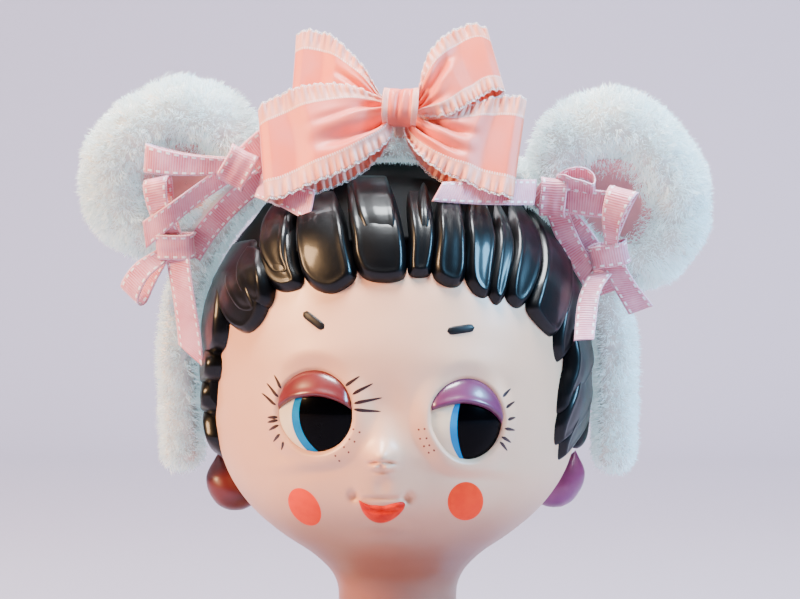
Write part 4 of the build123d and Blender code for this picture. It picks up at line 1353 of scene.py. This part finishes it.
# Each loop: its upper and lower edges from the knot to the fold, its level, how far it bulges,
# where along it the bulge ends, and the phase of its waves
BOW_LOOPS = {
    "upper_left": (
        [(-5.0, 4.4), (-8.4, 7.4), (-14.1, 16.4), (-18.9, 22.3), (-24.7, 28.4), (-29.5, 32.4), (-37.2, 34.6),
         (-42.0, 33.8)],
        [(-5.0, 0.4), (-14, -1.5), (-24, -3.5), (-34, -5), (-43.2, -5.0)], -2.5, 5.5, 0.6, 0.3),
    "upper_right": (
        [(4.8, 1.2), (6.5, 6.9), (8.2, 14.1), (11.0, 21.3), (15.8, 27.2), (21.4, 32.0), (27.2, 34.2),
         (32.6, 33.0)],
        [(5.0, -2.4), (14.7, -4.3), (19.5, -3.8), (26.2, 0.4), (32.9, 6.2), (39.4, 8.0)], 2.5, 6.5, 0.55, 1.7),
    "lower_left": (
        [(-5.0, 3.4), (-11.2, 5.8), (-17, 7.5), (-23.7, 8.2), (-33.3, 8.0), (-43.4, 6.0), (-51.0, 2.8),
         (-55.2, 0.4)],
        [(-3.6, -3.0), (-3.4, -8.4), (-5.8, -14.6), (-11.2, -20.2), (-18.9, -25.6), (-28.5, -30.0),
         (-38.1, -33.6), (-44.8, -36.6), (-51.1, -36.8)], 1.5, 6.5, 0.62, 2.6),
    "lower_right": (
        [(5.0, 0.4), (14.7, -1.6), (22.4, -1.0), (30, 1.4), (39, 4.9), (47.8, 5.0)],
        [(1.8, -4.2), (1.5, -9.0), (4.6, -15.5), (9.9, -21.7), (17.6, -27.0), (24.3, -29.8), (33.9, -33.6),
         (43, -35.4)], -1.0, 6.5, 0.6, 4.1),
}
# Folds that run out from the knot: (share across at the knot and at its end, depth, half width)
BOW_FOLDS = {
    "upper_left": [(0.5, 0.2, 2.4, 0.15), (-0.1, -0.25, 1.4, 0.12)],
    "upper_right": [(0.05, -0.45, 4.2, 0.2)],
    "lower_left": [(0.32, 0.24, 5.4, 0.19), (-0.35, -0.2, 1.6, 0.1)],
    "lower_right": [(-0.5, -0.12, 4.0, 0.14), (0.12, 0.34, 3.0, 0.12)],
}


def bow(points):
    """World place of points across, up and out from the large bow's own plane."""
    return BOW_ORIGIN + np.asarray(points, float) @ BOW_AXES


def bow_gathers(corner, t, s, phase):
    """Height of the fine gathers at the knot and of the deep folds that run out from it."""
    gathers = 1.2 * np.sin(9 * s + phase) + 0.6 * np.sin(17 * s + 2 * phase)
    gathers = gathers * (1 - smoothstep(0.05, 0.55, t)) * smoothstep(0, 0.12, t)
    fade = smoothstep(0.02, 0.16, t) * (1 - smoothstep(0.42, 0.72, t))
    for near, far, deep, reach in BOW_FOLDS[corner]:
        off = (s - near - (far - near) * smoothstep(0.05, 0.7, t)) / reach
        gathers = gathers - deep * (np.exp(-(off**2)) - 0.4 * np.exp(-((off / 2) ** 2))) * fade
    return gathers


def peach_ribbon(name, points, across, node, thickness):
    uv, run = weave_map(points, across)
    faces = grid_faces(*points.shape[:2])
    thing = piece(name, points, faces, "headband", "peach_ribbon", [PEACH], [node], uv=uv)
    thicken(thing, thickness)
    return thing, run[-1]


def build_bow_loop(corner):
    """Ribbon out from the knot, over the fold at its end and back behind."""
    upper, lower, level, bulge, step, phase = BOW_LOOPS[corner]
    rows, cols = 110, 73
    layer = ruled(upper, lower, rows, cols)
    t, s = grid_ways(rows, cols)
    along = 2 * math.pi * t * run_length(layer[:, cols // 2])[-1]
    wave = np.sin(along / RUFFLE_WAVES + 2.2 * np.sin(7 * t + phase) + np.sign(s) * phase)
    ruffle = 0.75 * wave + 0.45 * np.sin(along / RUFFLE_SWAY + phase)
    ruffle = ruffle * smoothstep(RUFFLE - 0.02, 1.0, np.abs(s)) * smoothstep(0.02, 0.2, t)
    gathers = bow_gathers(corner, t, s, phase)
    swell = bulge * smoothstep(0, 0.4, t)
    flattened = 1 - 0.62 * smoothstep(step, step + 0.16, t - 0.06 * s**2)
    turn_in = np.sqrt(np.clip((1 - t) / 0.07, 0, 1))
    front = (1.2 + swell * flattened * (1 - 0.25 * s**2) * (1 - 0.3 * t)) * turn_in + gathers + ruffle
    back = -(1.2 + 0.75 * swell) * turn_in - 0.6 * gathers + ruffle * 0.8
    # The edge is pulled in a little between its scallops, and the back towards the fold
    middle = (layer[:, :1] + layer[:, -1:]) / 2
    scallop = 1 + 0.011 * np.abs(s) ** 8 * np.sin(along / SCALLOPS)
    narrowed = scallop * (1 - 0.03 * smoothstep(0.8, 1, t))
    face, rear = (with_height(middle + (layer - middle) * size[..., None], level + height)
                  for size, height in ((scallop, front), (narrowed, back)))
    points = bow(np.concatenate([face, rear[-2::-1]]))
    thing, length = peach_ribbon(f"bow_loop_{corner}_ribbon", points, s, f"bow_loop_{corner}", 0.4)
    build_picot(f"bow_loop_{corner}_picot", points)


PICOT_STEP, PICOT_RADIUS, PICOT_HOLE, PICOT_TALL = 1.25, 0.6, 0.45, 0.17
PICOT_FACES = [[k * 8 + i, k * 8 + (i + 1) % 8, (k + 1) % 4 * 8 + (i + 1) % 8, (k + 1) % 4 * 8 + i]
               for k in range(4) for i in range(8)]


def build_picot(name, points):
    """Row of tiny thread loops along both edges."""
    parts = []
    a = around(8)[:, None]
    for edge, beside in ((points[:, 0], points[:, 2]), (points[:, -1], points[:, -3])):
        run = run_length(edge)
        spots = np.arange(2, run[-1] - 2, PICOT_STEP)
        place, away = (np.column_stack([np.interp(spots, run, column) for column in line.T])
                       for line in (edge, edge - beside))
        for p, out, along in zip(place, unit(away), unit(np.gradient(place, axis=0))):
            tall = np.cross(out, along) * PICOT_TALL
            middle = p + out * 0.35
            ring = middle + (out * np.cos(a) + along * np.sin(a)) * PICOT_RADIUS
            hole = middle + (ring - middle) * PICOT_HOLE
            between = (ring + hole) / 2
            parts.append((np.vstack([ring, between + tall, hole, between - tall]), PICOT_FACES))
    piece(name, *join(parts), "headband", "peach_ribbon", [PICOT])


def build_bow_knot():
    """The wrap at the middle of the bow, creased down its front."""
    a = wrap_angle(72, 0.05)
    s = np.linspace(-1, 1, 37)[None, :]
    waist = 7.2 * (1 - 0.06 * (1 - s**2))
    front = np.clip(np.cos(a), 0, 1)
    crease = 1.3 * np.exp(-((s + 0.1 - 0.1 * np.sin(a)) / 0.09) ** 2)
    crease = crease + 0.5 * np.exp(-((s - 0.55) / 0.12) ** 2)
    x = 6.3 * s + 0.5 * np.sin(a + 0.4) + 0.6 * s * np.cos(a)
    y = waist * squared(np.sin(a), 0.75)
    z = 3.4 + waist * squared(np.cos(a), 0.8) + (0.3 * np.sin(11 * s) - crease) * front
    points = bow(np.stack([x, y, z], -1))
    thing, length = peach_ribbon("bow_knot_wrap", points, s * 0.9, "bow_knot", 0.5)


def build_bow_stalk():
    """Stalk of gathered ribbon from the knot down into the plush of the band."""
    rows, cols = 16, 32
    t = np.linspace(0, 1, rows)[:, None]
    b = around(cols)
    radius = 5.2 * (1 + 0.1 * np.sin(8 * b)) * (1 - 0.15 * np.sin(math.pi * t))
    points = bow(with_height(radius[..., None] * on_circle(b) * (1, 0.9), 2 - 17 * t))
    piece("bow_stalk", points, grid_faces(rows, cols, wrap=True) + end_caps(rows, cols), "headband",
          "peach_ribbon", [STALK])


# ---------------------------------------------------------------- stand, studio, camera

def finish_cad_nodes():
    """The stand and the hidden parts keep their CAD shape and take their own finishes."""
    slots = {row["node"]: row["material_slot"] for row in frame["record"]["subparts"]}
    for name, thing in frame["nodes"].items():
        finish = CAD_FINISH.get(slots.get(name))
        if not finish:
            continue
        if not thing.material_slots:
            thing.data.materials.append(finish)
        for slot in thing.material_slots:
            slot.material = finish


# Sweep of paper under and behind the doll: its width, its floor's ends, its height and the radius of its bend
SWEEP_WIDE, SWEEP_FRONT, SWEEP_BACK, SWEEP_TALL, SWEEP_BEND = 6000, -1500, 1500, 3000, 700


def build_sweep():
    bend = np.linspace(0, math.pi / 2, 24)
    curve = SWEEP_BEND * np.column_stack([np.sin(bend), 1 - np.cos(bend)]) + (SWEEP_BACK, 0)
    profile = np.vstack([[(SWEEP_FRONT, 0)], curve, [(SWEEP_BACK + SWEEP_BEND, SWEEP_TALL)]])
    points = [(x, y, z) for y, z in profile for x in (-SWEEP_WIDE / 2, SWEEP_WIDE / 2)]
    mesh = smooth_mesh("studio_backdrop", points, grid_faces(len(profile), 2), [BACKDROP])
    linked("studio_backdrop", mesh)


# Soft lamps: name, place, width, height, power, colour and what each is aimed at, in metres and watts
HEAD_MIDDLE = (0, 0, 0.15)
LAMPS = [
    ("warm_window", (-1.7, -0.75, 1.1), 0.6, 0.7, 122, (1.0, 0.60, 0.30), HEAD_MIDDLE),
    ("cool_window", (1.7, -0.5, 1.1), 0.5, 0.8, 126, (0.24, 0.62, 1.0), HEAD_MIDDLE),
    ("top_soft", (0, -0.32, 1.6), 0.6, 0.5, 88, (0.92, 0.97, 1.0), HEAD_MIDDLE),
    ("backdrop_wash", (0, 0.7, 2.2), 2.4, 0.6, 96, (0.98, 0.95, 1.0), (0, 2.1, 0.6)),
]


def build_lights():
    for name, place, wide, tall, power, colour, target in LAMPS:
        light = bpy.data.lights.new(name, "AREA")
        light.shape = "RECTANGLE"
        light.size, light.size_y = wide, tall
        light.energy = power
        light.color = colour
        thing = linked(name, light)
        thing.location = place
        thing.rotation_euler = (Vector(target) - Vector(place)).to_track_quat("-Z", "Y").to_euler()
    world = bpy.data.worlds.new("studio_world")
    bpy.context.scene.world = world
    world.use_nodes = True
    sky = world.node_tree.nodes["Background"].inputs
    sky["Color"].default_value = srgb(222, 220, 232)
    sky["Strength"].default_value = 0.18


# The camera stands a metre from the doll's axis, a little to the right, level with the eyes
CAMERA_TURN, CAMERA_FAR, CAMERA_HEIGHT, CAMERA_SHIFT = math.radians(4), 1.0, 0.1602, 0.001


def build_camera():
    camera = bpy.data.cameras.new("camera")
    camera.lens = 112.5
    camera.sensor_width = 36
    thing = linked("camera", camera)
    thing.location = (CAMERA_FAR * math.sin(CAMERA_TURN) + CAMERA_SHIFT, -CAMERA_FAR * math.cos(CAMERA_TURN),
                      CAMERA_HEIGHT)
    thing.rotation_euler = (math.pi / 2, 0, CAMERA_TURN)
    bpy.context.scene.camera = thing


skin = build_skin()
build_painted_face(skin)
for side in EYES:
    build_eyeball(side)
    build_eyelid(side)
    build_earring(side)
build_hair()
build_plush()
build_flat_ribbons()
build_leaning_ribbons()
build_small_loops()
build_knots()
for corner in BOW_LOOPS:
    build_bow_loop(corner)
build_bow_knot()
build_bow_stalk()
finish_cad_nodes()
build_sweep()
build_lights()
build_camera()
